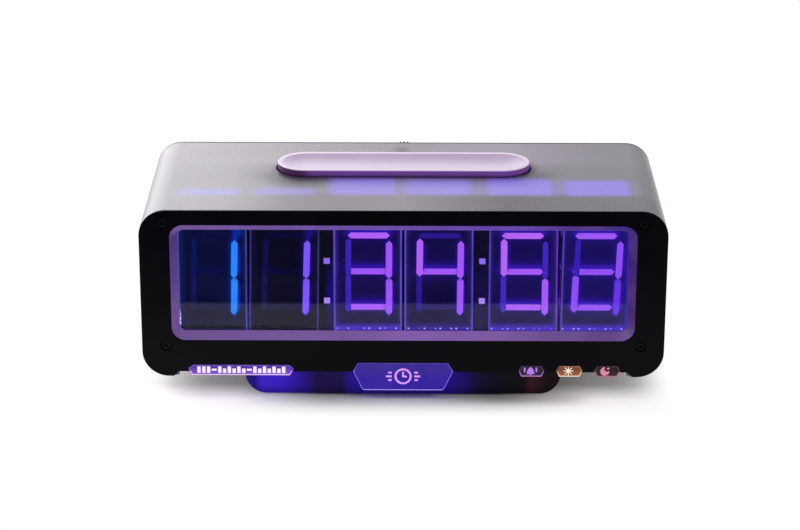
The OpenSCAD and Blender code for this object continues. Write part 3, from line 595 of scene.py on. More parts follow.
def segment_corners(centre_x, centre_z, upright, width, lean):
    """The outline of a pointed segment. An upright one leans with its digit."""
    half, tip = SEGMENT_LENGTH / 2, width / 2
    flat = [(-half, 0), (-half + tip, -tip), (half - tip, -tip), (half, 0), (half - tip, tip),
            (-half + tip, tip)]
    if upright:
        return [(centre_x + v + u * lean, centre_z + u) for u, v in flat]
    return [(centre_x + u, centre_z + v) for u, v in flat]


def slab_between(form, ring, y_front, y_rear, layer=None, colour=None):
    """A closed slab with the outline ring, given as (x, z) pairs, between two depths."""
    front_ring, rear_ring = [[form.verts.new((cx, y_at, cz)) for cx, cz in ring]
                             for y_at in (y_front, y_rear)]
    faces = [form.faces.new(front_ring), form.faces.new(rear_ring)]
    for a in range(len(ring)):
        b = (a + 1) % len(ring)
        faces.append(form.faces.new((front_ring[a], front_ring[b], rear_ring[b], rear_ring[a])))
    if layer:
        for face in faces:
            for loop in face.loops:
                loop[layer] = colour


def light_form():
    """An empty form for sheets of light, with layers for their tint and for two distances."""
    form = bmesh.new()
    return form, form.loops.layers.float_color.new("tint"), form.loops.layers.uv.new("from_segment")


def sheet_in(light, ring, y_at, tint, pairs):
    """Adds one thin sheet of light, with two distances at each corner."""
    form, tints, uvs = light
    face = form.faces.new([form.verts.new((cx, y_at, cz)) for cx, cz in ring])
    for loop, pair in zip(face.loops, pairs):
        loop[tints] = tint
        loop[uvs].uv = pair


def distances(ring, centre_x, centre_z, upright=False):
    """How far each corner is along and across from a segment's middle, in millimetres."""
    flat = [((cx - centre_x) / MM, (cz - centre_z) / MM) for cx, cz in ring]
    return [(v, u) for u, v in flat] if upright else flat


def light_finish(name):
    """A new finish for sheets of light, with their tint and their two distances."""
    finish = Finish(name)
    tint = finish.node("ShaderNodeAttribute", {"attribute_name": "tint"}, out="Color")
    u, v, _ = finish.split(finish.node("ShaderNodeUVMap", {"uv_map": "from_segment"}))
    return finish, tint, u, v


def unlit(finish, colour, **more):
    """Ends a finish that only gives light."""
    return finish.surface(Base_Color=(0, 0, 0, 1), Roughness=0.7, Specular_IOR_Level=0.0,
                          Emission_Color=colour, Emission_Strength=1.0, **more)


engraved = Finish("engraved_segment")
tint = engraved.node("ShaderNodeAttribute", {"attribute_name": "tint"}, out="Color")
frosting = engraved.noise(900, 3)
pool = engraved.noise(70, 2)
segment_light = unlit(engraved, engraved.mix(
    engraved.step(frosting, 0.3, 0.75) * 0.10 + engraved.step(pool, 0.35, 0.65) * 0.10, tint,
    engraved.mix(0.5, tint, (0.02, 0.02, 0.5, 1))))

# The light follows a segment's pointed outline, shifted a little to the right of an upright segment
# and above a level one, where it goes further. It is weaker where an upright segment meets the next.
# The tint's alpha is 1 for a level segment.
halo, tint, u, v = light_finish("light_in_plate")
level = tint.output("Alpha")
half_length = SEGMENT_LENGTH / 2 / MM
aside = abs(v - 0.3 - level * 0.9)
gap = (aside - 1.3).above((abs(u) + aside - half_length) * 0.8).above(0)
joint = halo.step(abs(u), half_length - 3.7, half_length - 1.5) * halo.step(v, 0.4, 0.9) * (1 - level) * 0.7
halo_light = unlit(halo, tint, Alpha=((gap * (1.6 - level * 0.8)).decay() * (0.82 - joint)).below(1.0))

# A haze stands over the row of lamps, with a bright, broken arch of sparkles over each of them.
lamp_glow, tint, u, v = light_finish("light_over_lamps")
aside = abs(abs(u.wrap(LAMP_PITCH / MM)) - 1.1)
spark = lamp_glow.step((aside * aside + (v - 0.35) * (v - 0.35) * 1.3).root(), 0.62, 0.2)
spark = spark * lamp_glow.step(lamp_glow.noise(340, 1), 0.28, 0.52)
rise = lamp_glow.step(v, 4.6, 0.2)
haze = rise * rise * lamp_glow.step(v, -0.75, -0.35, 0.15, 1.0) * 0.66
lamp_light = unlit(lamp_glow, lamp_glow.mix(spark, tint, srgb(186, 170, 255)),
                   Alpha=(haze + spark * 0.9).below(1.0))

# The plates' cut sides catch the light as thin upright lines, with a glow of their own strength on
# the inner side. The outermost line has one white glint.
rims, tint, across, glow = light_finish("lit_plate_rims")
x, _, z = rims.axes()
wander = rims.step(rims.noise(130, 2, (1, 1, 0.35)), 0.25, 0.75, 0.55, 1.0)
glint = (rims.step(x, -0.0994, -0.0997) * rims.band(z, 0.0265, 0.033, 0.001)
         * rims.step(rims.noise(700, 2), 0.42, 0.55))
line = rims.step(abs(across), 0.5, 0.12)
beside = (across.above(0) * 1.5).decay() * rims.step(across, -0.1, 0.2) * glow
rim_light = unlit(rims, rims.mix(glint, tint, srgb(206, 218, 255)),
                  Alpha=((line + beside) * wander + glint).below(1.0))

# Sheets of light keep this far from the edges of their plate. The lit lines reach past both of its
# sides by the first number and onto it by the second, in millimetres.
SHEET_INSET = 0.45 * MM
LINE_OUTER, LINE_INNER = 0.6, 4
for i, shown in enumerate(SHOWN):
    node = f"digit_{i + 1}"
    low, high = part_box(node)
    middle = (low.x + high.x) / 2
    dim = i < 2

    glass = Finish(f"plate_sheet_{i + 1}")
    scratches = glass.noise(420, 2, (1, 1, 0.05))
    plate_sheet = glass.surface(
        Base_Color=(1, 1, 1, 1), Transmission_Weight=1.0, IOR=1.49, Specular_Tint=(0.04, 0.04, 0.05, 1),
        Roughness=glass.step(scratches, 0.55, 0.9, 0.0, 0.01),
        Normal=glass.bump(scratches, 0.02, 0.00002))
    plates = stack.grow(f"{node}_plates", plate_sheet, Width=high.x - low.x, Height=high.z - low.z,
                        Place=(middle, low.y, (low.z + high.z) / 2))
    dress(plates, plate_sheet, "housing", (node,))

    marks = bmesh.new()
    mark_tints = marks.loops.layers.float_color.new("tint")
    halos, lamp_haze, lines = light_form(), light_form(), light_form()
    left, foot_z = low.x + SHEET_INSET, low.z + SHEET_INSET
    right, head_z = high.x - SHEET_INSET, high.z - SHEET_INSET
    sheet = oblong(left, foot_z, right, head_z)
    for k, letter in enumerate(PLATE_ORDER):
        side_step, height_step = SEGMENT_PLACE[letter]
        centre_x = (middle + side_step * SEGMENT_SIDE + STANDING_OFF[i][side_step + 1] * MM
                    + height_step * LEAN[i] * MM)
        centre_z = DIGIT_MIDDLE + height_step * MM
        upright = side_step != 0
        rear = low.y + k * PLATE_STEP + PLATE_THICKNESS
        lit = letter in shown
        colour = PARTLY_LIT.get((i, letter), LIT[i] if lit else UNLIT_GLOW[i])
        if dim and not upright:
            colour = scaled(DEPTH_GLOW[i], 0.92)
        if lit and not dim:
            colour = (colour[0] * PALENESS[letter], colour[1] * PALENESS[letter], *colour[2:])
        ring = segment_corners(centre_x, centre_z, upright, SEGMENT_WIDTH * (1 if lit else 0.88), LEAN[i])
        slab_between(marks, ring, rear - 0.5 * MM, rear - 0.35 * MM, mark_tints, colour)
        if lit:
            sheet_in(halos, sheet, rear - 0.3 * MM, scaled(HALO[i], 1.0, 0.0 if upright else 1.0),
                     distances(sheet, centre_x, centre_z, upright))
        if dim and letter == "b":
            # Some of the light goes on above the topmost segment.
            sheet_in(halos, sheet, rear - 0.25 * MM, scaled(HALO[i], 0.58, 0.0),
                     distances(sheet, centre_x + 1.0 * MM, centre_z + 17.2 * MM, upright))
        if k == 0 and not dim:
            strip = oblong(left, foot_z, right, low.z + 9 * MM)
            sheet_in(lamp_haze, strip, rear - 0.7 * MM, scaled(LAMP_HAZE, 0.55 if i == 3 else 1.0),
                     distances(strip, middle - 0.4 * MM, low.z + 3.3 * MM))
    for side, (foot, head, strength, colour) in zip((1, -1), SIDES[i]):
        ring = [((foot - LINE_OUTER * side) * MM, foot_z), ((foot + LINE_INNER * side) * MM, foot_z),
                ((head + LINE_INNER * side) * MM, head_z), ((head - LINE_OUTER * side) * MM, head_z)]
        sheet_in(lines, ring, low.y - 0.05 * MM, colour,
                 [(reach, strength) for reach in (-LINE_OUTER, LINE_INNER, LINE_INNER, -LINE_OUTER)])
    dress(solid_of(f"{node}_segments", marks), segment_light, "housing")
    for name, (form, _, _), finish in (("halos", halos, halo_light), ("lamp_glow", lamp_haze, lamp_light),
                                       ("rims", lines, rim_light)):
        if len(form.faces):
            dress(piece_of(f"{node}_{name}", form), finish, "housing")

    # A sheet behind the plates stands for their dark depth with a painted glow of stray light: darker
    # low down, a little brighter along its edges and in clouds, with dust in it painted as lit specks.
    depth_glow = Finish(f"plate_depth_{i + 1}")
    x, _, z = depth_glow.axes()
    cloud = depth_glow.noise(75, 3)
    falling = low.z + (26 * MM if i == 3 else 17 * MM)
    shade = depth_glow.mix(depth_glow.step(z, falling, falling - 10 * MM), DEPTH_GLOW[i], scaled(DEPTH_GLOW[i], 0.6))
    for edge in (depth_glow.step(z, low.z + 3 * MM, low.z) * 0.3,
                 depth_glow.step(z, high.z - 8 * MM, high.z - 6.5 * MM) * 0.45,
                 depth_glow.step(abs(x - middle), 11.6 * MM, 12.4 * MM) * 0.3):
        shade = depth_glow.mix(edge, shade, scaled(DEPTH_GLOW[i], 2.6))
    shade = depth_glow.mix(depth_glow.step(cloud, 0.3, 0.75) * 0.35, shade, scaled(DEPTH_GLOW[i], 1.8))
    shade = depth_glow.mix(depth_glow.specks(260, 0.11, 0.10) * 0.5, shade, DUST_AND_GLINT[i])
    back = bmesh.new()
    back.faces.new([back.verts.new((cx, high.y - 0.15 * MM, cz)) for cx, cz in sheet])
    dress(piece_of(f"{node}_depth", back), unlit(depth_glow, shade), "housing")

# ---- combs, mask and colons ---------------------------------------------------------------------------
# Black moulded combs hold the plates at the top and bottom. Two hollow posts between the pairs hold
# square light rods, and the lit plates throw a blue-violet sheen on their sides.


def plain(name, colour, rough, spec=0.4, wear=0.0):
    """A moulded, printed or painted finish: finely grained, and paler where it is worn."""
    finish = Finish(name)
    speck = finish.noise(900, 3)
    cloud = finish.noise(35, 3)
    tone = finish.mix(finish.step(speck, 0.3, 0.7) * 0.5 + finish.step(cloud, 0.3, 0.7) * 0.4,
                      scaled(colour, 0.72), colour)
    if wear:
        tone = finish.mix(finish.step(cloud, 0.58, 0.7) * wear, tone,
                          tuple(min(1.0, 1.6 * c + 0.02) for c in colour[:3]) + (1,))
    return finish.surface(Base_Color=tone, Specular_IOR_Level=spec,
                          Roughness=finish.step(cloud, 0.25, 0.75, rough * 0.8, rough * 1.1),
                          Normal=finish.bump(speck, 0.1, 0.00005))


def dress_nodes(finish, *nodes):
    """Gives CAD nodes that need no further work their finish."""
    for node in nodes:
        dress(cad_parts[node], finish)


dark_moulded = plain("dark_moulded", srgb(9, 9, 12), 0.6, spec=0.12)
dress_nodes(dark_moulded, "lower_comb", "upper_comb", "rear_mask")

POST_HALF = 3.3 * MM
post_finish = Finish("colon_post")
x, _, z = post_finish.axes()
off_pair = abs(x) - (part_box("colon_posts")[1].x - POST_HALF)
speck = post_finish.noise(900, 3)
toward = post_finish.step(off_pair, -POST_HALF, POST_HALF, 1.0, -1.0)
lower = post_finish.step(z, 0.060, 0.042)
sheen = post_finish.mix(post_finish.step(toward, -0.4, 0.9) * lower * post_finish.step(
    z, 0.030, 0.038, 0.3, 1.0), srgb(9, 10, 26), srgb(24, 13, 112))
sheen = post_finish.mix(post_finish.step(x, -0.001, 0.001), sheen,
                        post_finish.mix(lower, srgb(13, 10, 40), srgb(20, 13, 68)))
dress_nodes(post_finish.surface(
    Base_Color=srgb(9, 9, 12), Roughness=post_finish.step(speck, 0.3, 0.7, 0.4, 0.6),
    Specular_IOR_Level=0.1, Emission_Color=sheen, Emission_Strength=1.0), "colon_posts")

colon = Finish("colon_light")
_, _, z = colon.axes()
frost = colon.noise(1200, 2)
rod_tone = colon.mix(colon.step(z, 0.04, 0.055), srgb(168, 132, 243), srgb(134, 102, 243))
dress_nodes(unlit(colon, colon.mix(colon.step(frost, 0.3, 0.7) * 0.12, rod_tone, srgb(196, 170, 250))),
            "colon_lights")

# ---- sleeve -----------------------------------------------------------------------------------------
# Smoke-coloured glossy sheet bent round the top and sides, with a long opening for the snooze bar.
# The lit plates shine up through it as soft lilac strips, and handling has left faint smears.
sleeve = Finish("smoked_sheet")
x, y, z = sleeve.axes()
haze = sleeve.noise(7, 3)
fine = sleeve.noise(1800, 3)
smear = sleeve.noise(15, 3, (0.35, 1, 1), 0.5)
# Each strip: left and right end, front and rear depth in the housing, how soft its ends are, and its
# strength. The last one is the faint light between the strips of the four brighter digits.
STRIPS = [(-101, -71.8, 20.6, 29.5, 6, 0.55), (-66.6, -38.6, 21.0, 31.5, 6, 0.6),
          (-33.6, -3.6, 21.4, 45, 3, 0.58), (0, 30, 21.4, 44, 6, 0.55),
          (36.8, 65.8, 21.0, 45, 4, 0.68), (71.4, 100, 20.6, 42, 3, 0.68),
          (-35, 103, 21.4, 42, 12, 0.38)]
front_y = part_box("front_bezel")[0].y / MM
light = None
for x1, x2, depth_front, depth_rear, soft, strength in STRIPS:
    y1, y2 = (depth_front + front_y) * MM, (depth_rear + front_y) * MM
    mask = (sleeve.step(x, (x1 - soft * 0.5) * MM, (x1 + soft) * MM)
            * sleeve.step(x, (x2 + soft * 0.4) * MM, (x2 - soft * 0.6) * MM)
            * sleeve.step(y, y1 - 2.8 * MM, y1 + 3.4 * MM)
            * sleeve.step(y, y2 + 3.5 * MM, y2 - 5 * MM)) * strength
    light = mask if light is None else light + mask
light = light * sleeve.step(z, 0.08, 0.085) * sleeve.step(haze, 0.2, 0.7, 0.8, 1.1)
light_tone = sleeve.mix(sleeve.step(x, -0.075, -0.065), (0.0, 0.05, 0.5, 1), (0.06, 0.02, 0.46, 1))

# The sheet is painted a little darker to the right, as shade. The room's light, falling off unevenly
# along its top, is painted in as well: the middle, the rear and the front part, at five places from
# left to right. The sheet's own tones take up a gain, by which the levels are divided to stay under 1.
TOP_GAIN = 1.4
smoke_and_shade = sleeve.mix(sleeve.step(haze, 0.3, 0.7), srgb(150, 144, 153, TOP_GAIN), srgb(164, 158, 167, TOP_GAIN))
smoke_and_shade = sleeve.mix(sleeve.step(x, -0.03, 0.09), smoke_and_shade, srgb(136, 131, 141, TOP_GAIN))
shade = None
for part, levels in ((None, (0.81, 0.72, 1.0, 0.95, 1.0)),
                     (sleeve.step(y, 0.004, 0.014), (0.87, 1.15, 1.05, 1.34, 1.1)),
                     (sleeve.step(y, -0.030, -0.038), (0.80, 0.66, 0.97, 0.58, 0.8))):
    run = sleeve.ramp(sleeve.step(x, -0.096, 0.104), [
        (place, (level / TOP_GAIN, level / TOP_GAIN, level / TOP_GAIN, 1))
        for place, level in zip((0.0, 0.12, 0.47, 0.8, 1.0), levels)])
    shade = run if part is None else sleeve.mix(part, shade, run)
top = sleeve.step(z, 0.080, 0.0865)
smoke_and_shade = sleeve.node("ShaderNodeMix", {"data_type": "RGBA", "blend_type": "MULTIPLY"},
                    {0: 1.0, 6: smoke_and_shade, 7: sleeve.mix(top, (0.6, 0.6, 0.6, 1), shade)}, out=2)

# Painted shade: a darker band along the left edge, all round the bar's opening and more in front of
# it, a patch before the bar's left end and one behind its middle. Smears are paler, and a scuffed line
# runs along the right of the rear part.
PAINTED_SHADE = srgb(40, 36, 46)
BAR_Y, BAR_RUN = 4.8 * MM, 43.8 * MM


def off_bar(x, y):
    """The distance from the bar's middle line, whose ends are round."""
    past = (abs(x) - BAR_RUN).above(0)
    return (past * past + (y - BAR_Y) * (y - BAR_Y)).root()


def off_spot(x, y, weight):
    """The distance from a spot, in which y counts by a weight of its own."""
    return (x * x + y * y * weight).root()


smoke_and_shade = sleeve.mix(sleeve.step(x, -0.1118, -0.1142) * 0.5, smoke_and_shade, PAINTED_SHADE)
smoke_and_shade = sleeve.mix(sleeve.step(smear, 0.45, 0.8) * 0.12, smoke_and_shade, srgb(190, 184, 194))
from_slot = off_bar(x, y)
for mask in (sleeve.step(from_slot, 18.5 * MM, 13.6 * MM) * sleeve.step(y, 8 * MM, -6 * MM, 0.1, 0.75),
             sleeve.step(from_slot, 33 * MM, 15 * MM) * sleeve.step(y, 4 * MM, -8 * MM) * 0.55,
             sleeve.step(off_spot(x + 46 * MM, y + 12 * MM, 1.4), 20 * MM, 4 * MM) * 0.5,
             sleeve.step(off_spot(x + 1 * MM, y - 27 * MM, 0.25), 6 * MM, 1 * MM) * 0.35):
    smoke_and_shade = sleeve.mix(mask, smoke_and_shade, PAINTED_SHADE)
scuff = (sleeve.band(x, 0.062, 0.093, 0.004) * sleeve.band(y, 0.0325, 0.0335, 0.0006)
         * sleeve.step(smear, 0.3, 0.55))
smoke_and_shade = sleeve.mix(scuff * 0.35, smoke_and_shade, srgb(90, 86, 96))
smoked_sheet = sleeve.surface(
    Base_Color=smoke_and_shade, Specular_IOR_Level=0.5,
    Roughness=sleeve.step(smear, 0.3, 0.8, 0.25, 0.31) + fine * 0.03,
    Emission_Color=sleeve.mix(light, (0, 0, 0, 1), light_tone),
    Emission_Strength=1.0,
    Normal=sleeve.bump(fine, 0.05, 0.00003))
refined("outer_sleeve", smoked_sheet, 0.3, 2)

# ---- snooze bar ---------------------------------------------------------------------------------------
# A long lilac push bar with a dished top and a raised rim, machined from one piece and polished.
# The dish is painted darker towards its rear as shade, and the rim is painted pale as a highlight,
# most at the rear. Its sides are painted deep purple as shade where they go down into the opening,
# and darker still at the left end.
bar_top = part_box("snooze_bar")[1].z
lilac = Finish("lilac_sheet")
x, y, z = lilac.axes()
fine = lilac.noise(1500, 3)
wipe = lilac.noise(40, 3, (0.4, 1, 1))
from_line = off_bar(x, y)
slope = lilac.step(y, BAR_Y - 9 * MM, BAR_Y + 11 * MM)
dish_tone = lilac.ramp(slope, [(0.0, srgb(222, 210, 228)), (0.35, srgb(214, 200, 222)),
                               (0.7, srgb(196, 180, 204)), (1.0, srgb(177, 156, 188))])
dish_tone = lilac.mix(lilac.step(wipe, 0.45, 0.75) * 0.12, dish_tone, srgb(232, 222, 238))
top_tone = lilac.mix(lilac.step(from_line, 11.1 * MM, 11.6 * MM) * lilac.step(
    y, BAR_Y - 8 * MM, BAR_Y + 8 * MM, 0.1, 1.0), dish_tone, srgb(238, 220, 242))
side_tone = lilac.mix(lilac.step(z, bar_top - 3.6 * MM, bar_top - 1.6 * MM),
                      srgb(46, 16, 96), srgb(152, 92, 190))
side_tone = lilac.mix(lilac.step(x, -40 * MM, -47 * MM) * 0.75, side_tone, srgb(60, 26, 52))
lilac_sheet = lilac.surface(
    Base_Color=lilac.mix(lilac.step(from_line, 13.36 * MM, 13.1 * MM)
                         * lilac.step(z, bar_top - 3 * MM, bar_top - 1.8 * MM), side_tone, top_tone),
    Roughness=0.32 + fine * 0.06, Specular_IOR_Level=0.35)
refined("snooze_bar", lilac_sheet, 0.22, 3, body="snooze_bar")

# ---- lit plates along the bottom edge --------------------------------------------------------------------
# Five clear plates set into the bezel's lower edge and lit from behind: a long label, a hanging badge
# and three small signs. Their cut edges gather the light, and their marks are engraved.
PLATE_FACE, PLATE_MIDDLE, LABEL_X = -54.8 * MM, 11 * MM, -71.6 * MM
label_ring = [(-23.4, 3.6), (-21.1, 5.2), (21.1, 5.2), (23.4, 3.6), (21.5, 0.4), (-21.5, 0.4)]
badge_right = [(19.9, 6.3), (22.1, 2.4)] + [
    (16.8 + 1.8 * cos(radians(21.3 + 11.45 * n)), -4.8 - 1.8 * sin(radians(21.3 + 11.45 * n)))
    for n in range(7)]
badge_ring = badge_right + [(-px, pz) for px, pz in reversed(badge_right)]
sign_ring = [(-5.7, 2.8), (-4.5, 5.1), (4.5, 5.1), (5.7, 2.8), (4.5, 0.1), (-4.5, 0.1)]


def set_at(ring, centre_x, centre_z=PLATE_MIDDLE):
    """An outline in millimetres, put in its place."""
    return [(centre_x + px * MM, centre_z + pz * MM) for px, pz in ring]


def shrunk(ring, width):
    """The ring moved inwards by a width, corner by corner."""
    if sum(a[0] * b[1] - b[0] * a[1] for a, b in zip(ring, ring[1:] + ring[:1])) < 0:
        ring = ring[::-1]
    out = []
    for n, here in enumerate(ring):
        before, after = Vector(ring[n - 1]), Vector(ring[(n + 1) % len(ring)])
        here = Vector(here)
        one, two = (here - before).normalized(), (after - here).normalized()
        n1, n2 = Vector((-one.y, one.x)), Vector((-two.y, two.x))
        out.append(tuple(here + (n1 + n2) * (width / (1 + n1.dot(n2)))))
    return ring, out


def edge_band(name, ring, width, finish):
    """The lit cut edge of a plate: a narrow raised band along its outline."""
    outer, inner_ring = shrunk(ring, width)
    outer = shrunk(outer, 0.04 * MM)[1]
    foot, top = PLATE_FACE + 0.3 * MM, PLATE_FACE - 0.06 * MM
    form = bmesh.new()
    loops = [[form.verts.new((cx, y_at, cz)) for cx, cz in corners]
             for corners, y_at in ((outer, foot), (outer, top), (inner_ring, top), (inner_ring, foot))]
    for first, second in zip(loops, loops[1:] + loops[:1]):
        for n in range(len(ring)):
            m = (n + 1) % len(ring)
            form.faces.new((first[n], first[m], second[m], second[n]))
    dress(solid_of(name, form), finish, "housing")


def cut_marks(name, rings, finish, span=(PLATE_FACE - 0.05 * MM, PLATE_FACE + 0.05 * MM),
              body="housing"):
    """Marks as thin filled outlines that span a surface."""
    form = bmesh.new()
    for ring in rings:
        slab_between(form, ring, *span)
    bmesh.ops.recalc_face_normals(form, faces=form.faces)
    bmesh.ops.triangulate(form, faces=form.faces)
    dress(piece_of(name, form), finish, body)


def lit_body(name, low_tone, high_tone, spread):
    """Clear plate with light strewn through it, from its tone at the foot to that at the head."""
    finish = Finish(name)
    _, _, height = finish.axes()
    cloud = finish.noise(160, 3)
    tone = finish.mix(finish.step(height, 8 * MM, 17 * MM), low_tone, high_tone)
    tone = finish.mix(finish.step(cloud, 0.3, 0.7) * spread, tone, (1, 1, 1, 1))
    return finish.surface(Base_Color=finish.mix(0.85, tone, (0, 0, 0, 1)), Roughness=0.25,
                          Specular_IOR_Level=0.06, Emission_Color=tone, Emission_Strength=0.9)


def lit_edge(name, foot, side, top, foot_z, top_z):
    """Light gathered in a cut edge, brightest along the foot."""
    finish = Finish(name)
    _, _, height = finish.axes()
    cloud = finish.noise(240, 2)
    tone = finish.mix(finish.step(height, foot_z, foot_z + 0.9 * MM), foot, side)
    tone = finish.mix(finish.step(height, top_z - 3.4 * MM, top_z - 1.9 * MM), tone, top)
    return unlit(finish, finish.mix(finish.step(cloud, 0.3, 0.7) * 0.25, tone, side))


def glowing(name, colour, other):
    """A finish for engraved marks, which give light in clouds of two tones."""
    finish = Finish(name)
    cloud = finish.noise(330, 3)
    return unlit(finish, finish.mix(finish.step(cloud, 0.35, 0.65) * 0.4, colour, other))


# The label carries plain bars and dashes, as on a measuring scale.
refined("label_plate", lit_body("label_sheet", srgb(146, 96, 226), srgb(66, 40, 156), 0.02),
        0.2, 2)
edge_band("label_plate_edge", set_at(label_ring, LABEL_X), 0.42 * MM,
          lit_edge("label_edge", srgb(255, 222, 255), srgb(226, 176, 250), srgb(70, 44, 160),
                   11.4 * MM, 16.2 * MM))
TALL, SHORT, DASH, BETWEEN = (1.5, 3.1), (1.5, 2.1), (2.2, 0.9), 0.62
marks, left = [], -19.4
for width, height in ([TALL] * 3 + [DASH] + [TALL, SHORT] * 3 + [DASH] + [TALL, SHORT] * 3 + [TALL]):
    foot = 2.5 if width > 2 else 1.4
    marks.append(set_at(oblong(left, foot, left + width, foot + height), LABEL_X))
    left += width + BETWEEN
cut_marks("label_marks", marks, glowing("label_mark", srgb(255, 240, 255), srgb(238, 206, 255)))

# The badge carries a plain clock sign: a ring and two hands, with three dashes at each side.
refined("badge_plate", lit_body("badge_sheet", srgb(52, 32, 158), srgb(58, 44, 144), 0.006),
        0.2, 2)
edge_band("badge_plate_edge", set_at(badge_ring, 0.0), 0.3 * MM,
          lit_edge("badge_edge", srgb(226, 206, 255), srgb(150, 118, 250), srgb(70, 54, 158),
                   4.2 * MM, 16.9 * MM))


def round_ring(cx, cz, radius, steps=32, start=0.0, end=2 * pi):
    """Points round a circle, or along a part of it with both of its ends."""
    count = steps if abs(end - start) > 6.28 else steps + 1
    return [(cx + radius * cos(start + (end - start) * n / steps),
             cz + radius * sin(start + (end - start) * n / steps)) for n in range(count)]


def arc_band(cx, cz, r1, r2, start, end, steps=14):
    """The outline of a part of a flat ring between two radii."""
    return (round_ring(cx, cz, r2, steps, start, end)
            + round_ring(cx, cz, r1, steps, start, end)[::-1])


def hand(cx, cz, reach, angle, half):
    """The outline of a straight bar from a point, given by its reach, angle and half width."""
    dx, dz = cos(angle), sin(angle)
    return [(cx + a * dx - b * dz, cz + a * dz + b * dx)
            for a, b in ((-half, -half), (reach, -half), (reach, half), (-half, half))]


def clock_sign(inner, outer, long_hand, short_hand, half, tilt):
    """A ring with an upright hand and a level one, which is tilted by a little."""
    return ([arc_band(0, 0, inner, outer, pi * n / 2, pi * (n + 1) / 2) for n in range(4)]
            + [hand(0, 0, long_hand, pi / 2, half), hand(0, 0, short_hand, tilt, half)])


marks = clock_sign(2.9, 3.8, 2.2, 1.7, 0.4, -0.1)
for s in (-1, 1):
    marks += [oblong(s * 5.0, -0.45, s * 7.6, 0.45), oblong(s * 5.0, 1.35, s * 6.6, 2.2),
              oblong(s * 5.0, -2.2, s * 6.6, -1.35)]
cut_marks("badge_sign", [set_at(ring, 0.0) for ring in marks],
          glowing("badge_mark", srgb(230, 166, 255), srgb(196, 128, 250)))

# Bell, sun and moon stand for alarm, day and night.
bell = [(-2.0, 1.3), (-1.55, 1.75), (-1.4, 2.6), (-1.15, 3.6), (-0.6, 4.15), (-0.35, 4.2), (-0.3, 4.6),
        (0.3, 4.6), (0.35, 4.2), (0.6, 4.15), (1.15, 3.6), (1.4, 2.6), (1.55, 1.75), (2.0, 1.3)]
clapper = [(-0.55, 1.15), (-0.35, 0.75), (0.35, 0.75), (0.55, 1.15)]
waves = [arc_band(s * 0.55, 3.3, 1.75, 2.45, (0 if s > 0 else pi) - 0.5, (0 if s > 0 else pi) + 0.5, 8)
         for s in (-1, 1)]
sun = [round_ring(0, 2.8, 1.05, 20)] + [
    hand(1.35 * cos(pi * n / 4), 2.8 + 1.35 * sin(pi * n / 4), 0.85, pi * n / 4, 0.2) for n in range(8)]
crescent = (round_ring(-0.6, 2.65, 2.0, 20, radians(88), radians(364))
            + round_ring(0.55, 3.85, 1.35, 12, radians(308.6), radians(143.4))[1:-1])
star = [(0.85 + reach * cos(pi * n / 4 + pi / 2), 3.95 + reach * sin(pi * n / 4 + pi / 2))
        for n, reach in enumerate([0.8, 0.35] * 4)]
# Each sign: its place, its marks, the tones of its sheet and of its edge, and the marks' tone.
SIGNS = [("bell", 56.75, [bell, clapper] + waves, (srgb(50, 38, 54), srgb(34, 30, 42)),
          (srgb(206, 132, 196), srgb(164, 112, 220), srgb(46, 40, 54)), srgb(196, 132, 255)),
         ("sun", 73.5, sun, (srgb(172, 108, 70), srgb(112, 62, 46)),
          (srgb(255, 240, 220), srgb(255, 206, 168), srgb(124, 70, 52)), srgb(255, 244, 226)),
         ("moon", 90.2, [crescent, star], (srgb(58, 40, 42), srgb(36, 28, 32)),
          (srgb(180, 104, 112), srgb(168, 104, 140), srgb(46, 36, 42)), srgb(228, 146, 174))]
for name, sign_x, rings, sheet_tones, edge_tones, mark_tone in SIGNS:
    refined(f"{name}_plate", lit_body(f"{name}_sheet", *sheet_tones, 0.008), 0.2, 2)
    edge_band(f"{name}_plate_edge", set_at(sign_ring, sign_x * MM), 0.45 * MM,
              lit_edge(f"{name}_edge", *edge_tones, 11.1 * MM, 16.0 * MM))
    cut_marks(f"{name}_sign", [set_at(ring, (sign_x - 0.4) * MM) for ring in rings],
              glowing(f"{name}_mark", mark_tone, scaled(mark_tone, 0.7)))

# ---- plinth -------------------------------------------------------------------------------------------
# A folded and glued glossy plinth with round lower corners and a ballast plate inside. Light from the
# label and the badge strays into its front wall, and it stands on four rubber feet.
gloss = Finish("gloss_plinth")
x, y, z = gloss.axes()
cloud = gloss.noise(70, 3)
fine = gloss.noise(1600, 2)
# The stray light's colour along the front wall, by the place from left to right.
PLINTH_TONES = [(-70, (30, 18, 120)), (-66, (30, 14, 128)), (-63, (64, 34, 205)), (-54, (60, 30, 196)),
                (-46, (42, 18, 150)), (-41, (34, 14, 104)), (-38, (28, 12, 66)), (-27, (26, 12, 74)),
                (-24, (34, 16, 130)), (-18, (36, 18, 150)), (16, (32, 16, 140)), (25, (28, 10, 110)),
                (33, (12, 8, 44)), (45, (10, 8, 14)), (54, (16, 8, 12)), (56.5, (52, 22, 30)),
                (63, (24, 12, 14)), (70, (14, 8, 10))]
PLINTH_HALF = 70
across = (x + PLINTH_HALF * MM) / (2 * PLINTH_HALF * MM)
stray = gloss.ramp(across, [((px + PLINTH_HALF) / (2 * PLINTH_HALF), srgb(*tone))
                            for px, tone in PLINTH_TONES])
front_wall = gloss.step(y, -48.2 * MM, -49.6 * MM)
stray = gloss.mix(front_wall * gloss.step(z, 1.5 * MM, 5.5 * MM, 0.55, 1.0), (0, 0, 0, 1), stray)
refined("base_pod", gloss.surface(
    Base_Color=gloss.mix(gloss.step(cloud, 0.3, 0.7), srgb(9, 8, 14), srgb(14, 12, 22)),
    Roughness=gloss.step(cloud, 0.3, 0.7, 0.18, 0.28) + fine * 0.03, Specular_IOR_Level=0.08,
    Emission_Color=stray, Emission_Strength=0.85), 0.5, 3)
rubber = plain("foot_rubber", srgb(22, 22, 23), 0.85, spec=0.2, wear=0.3)
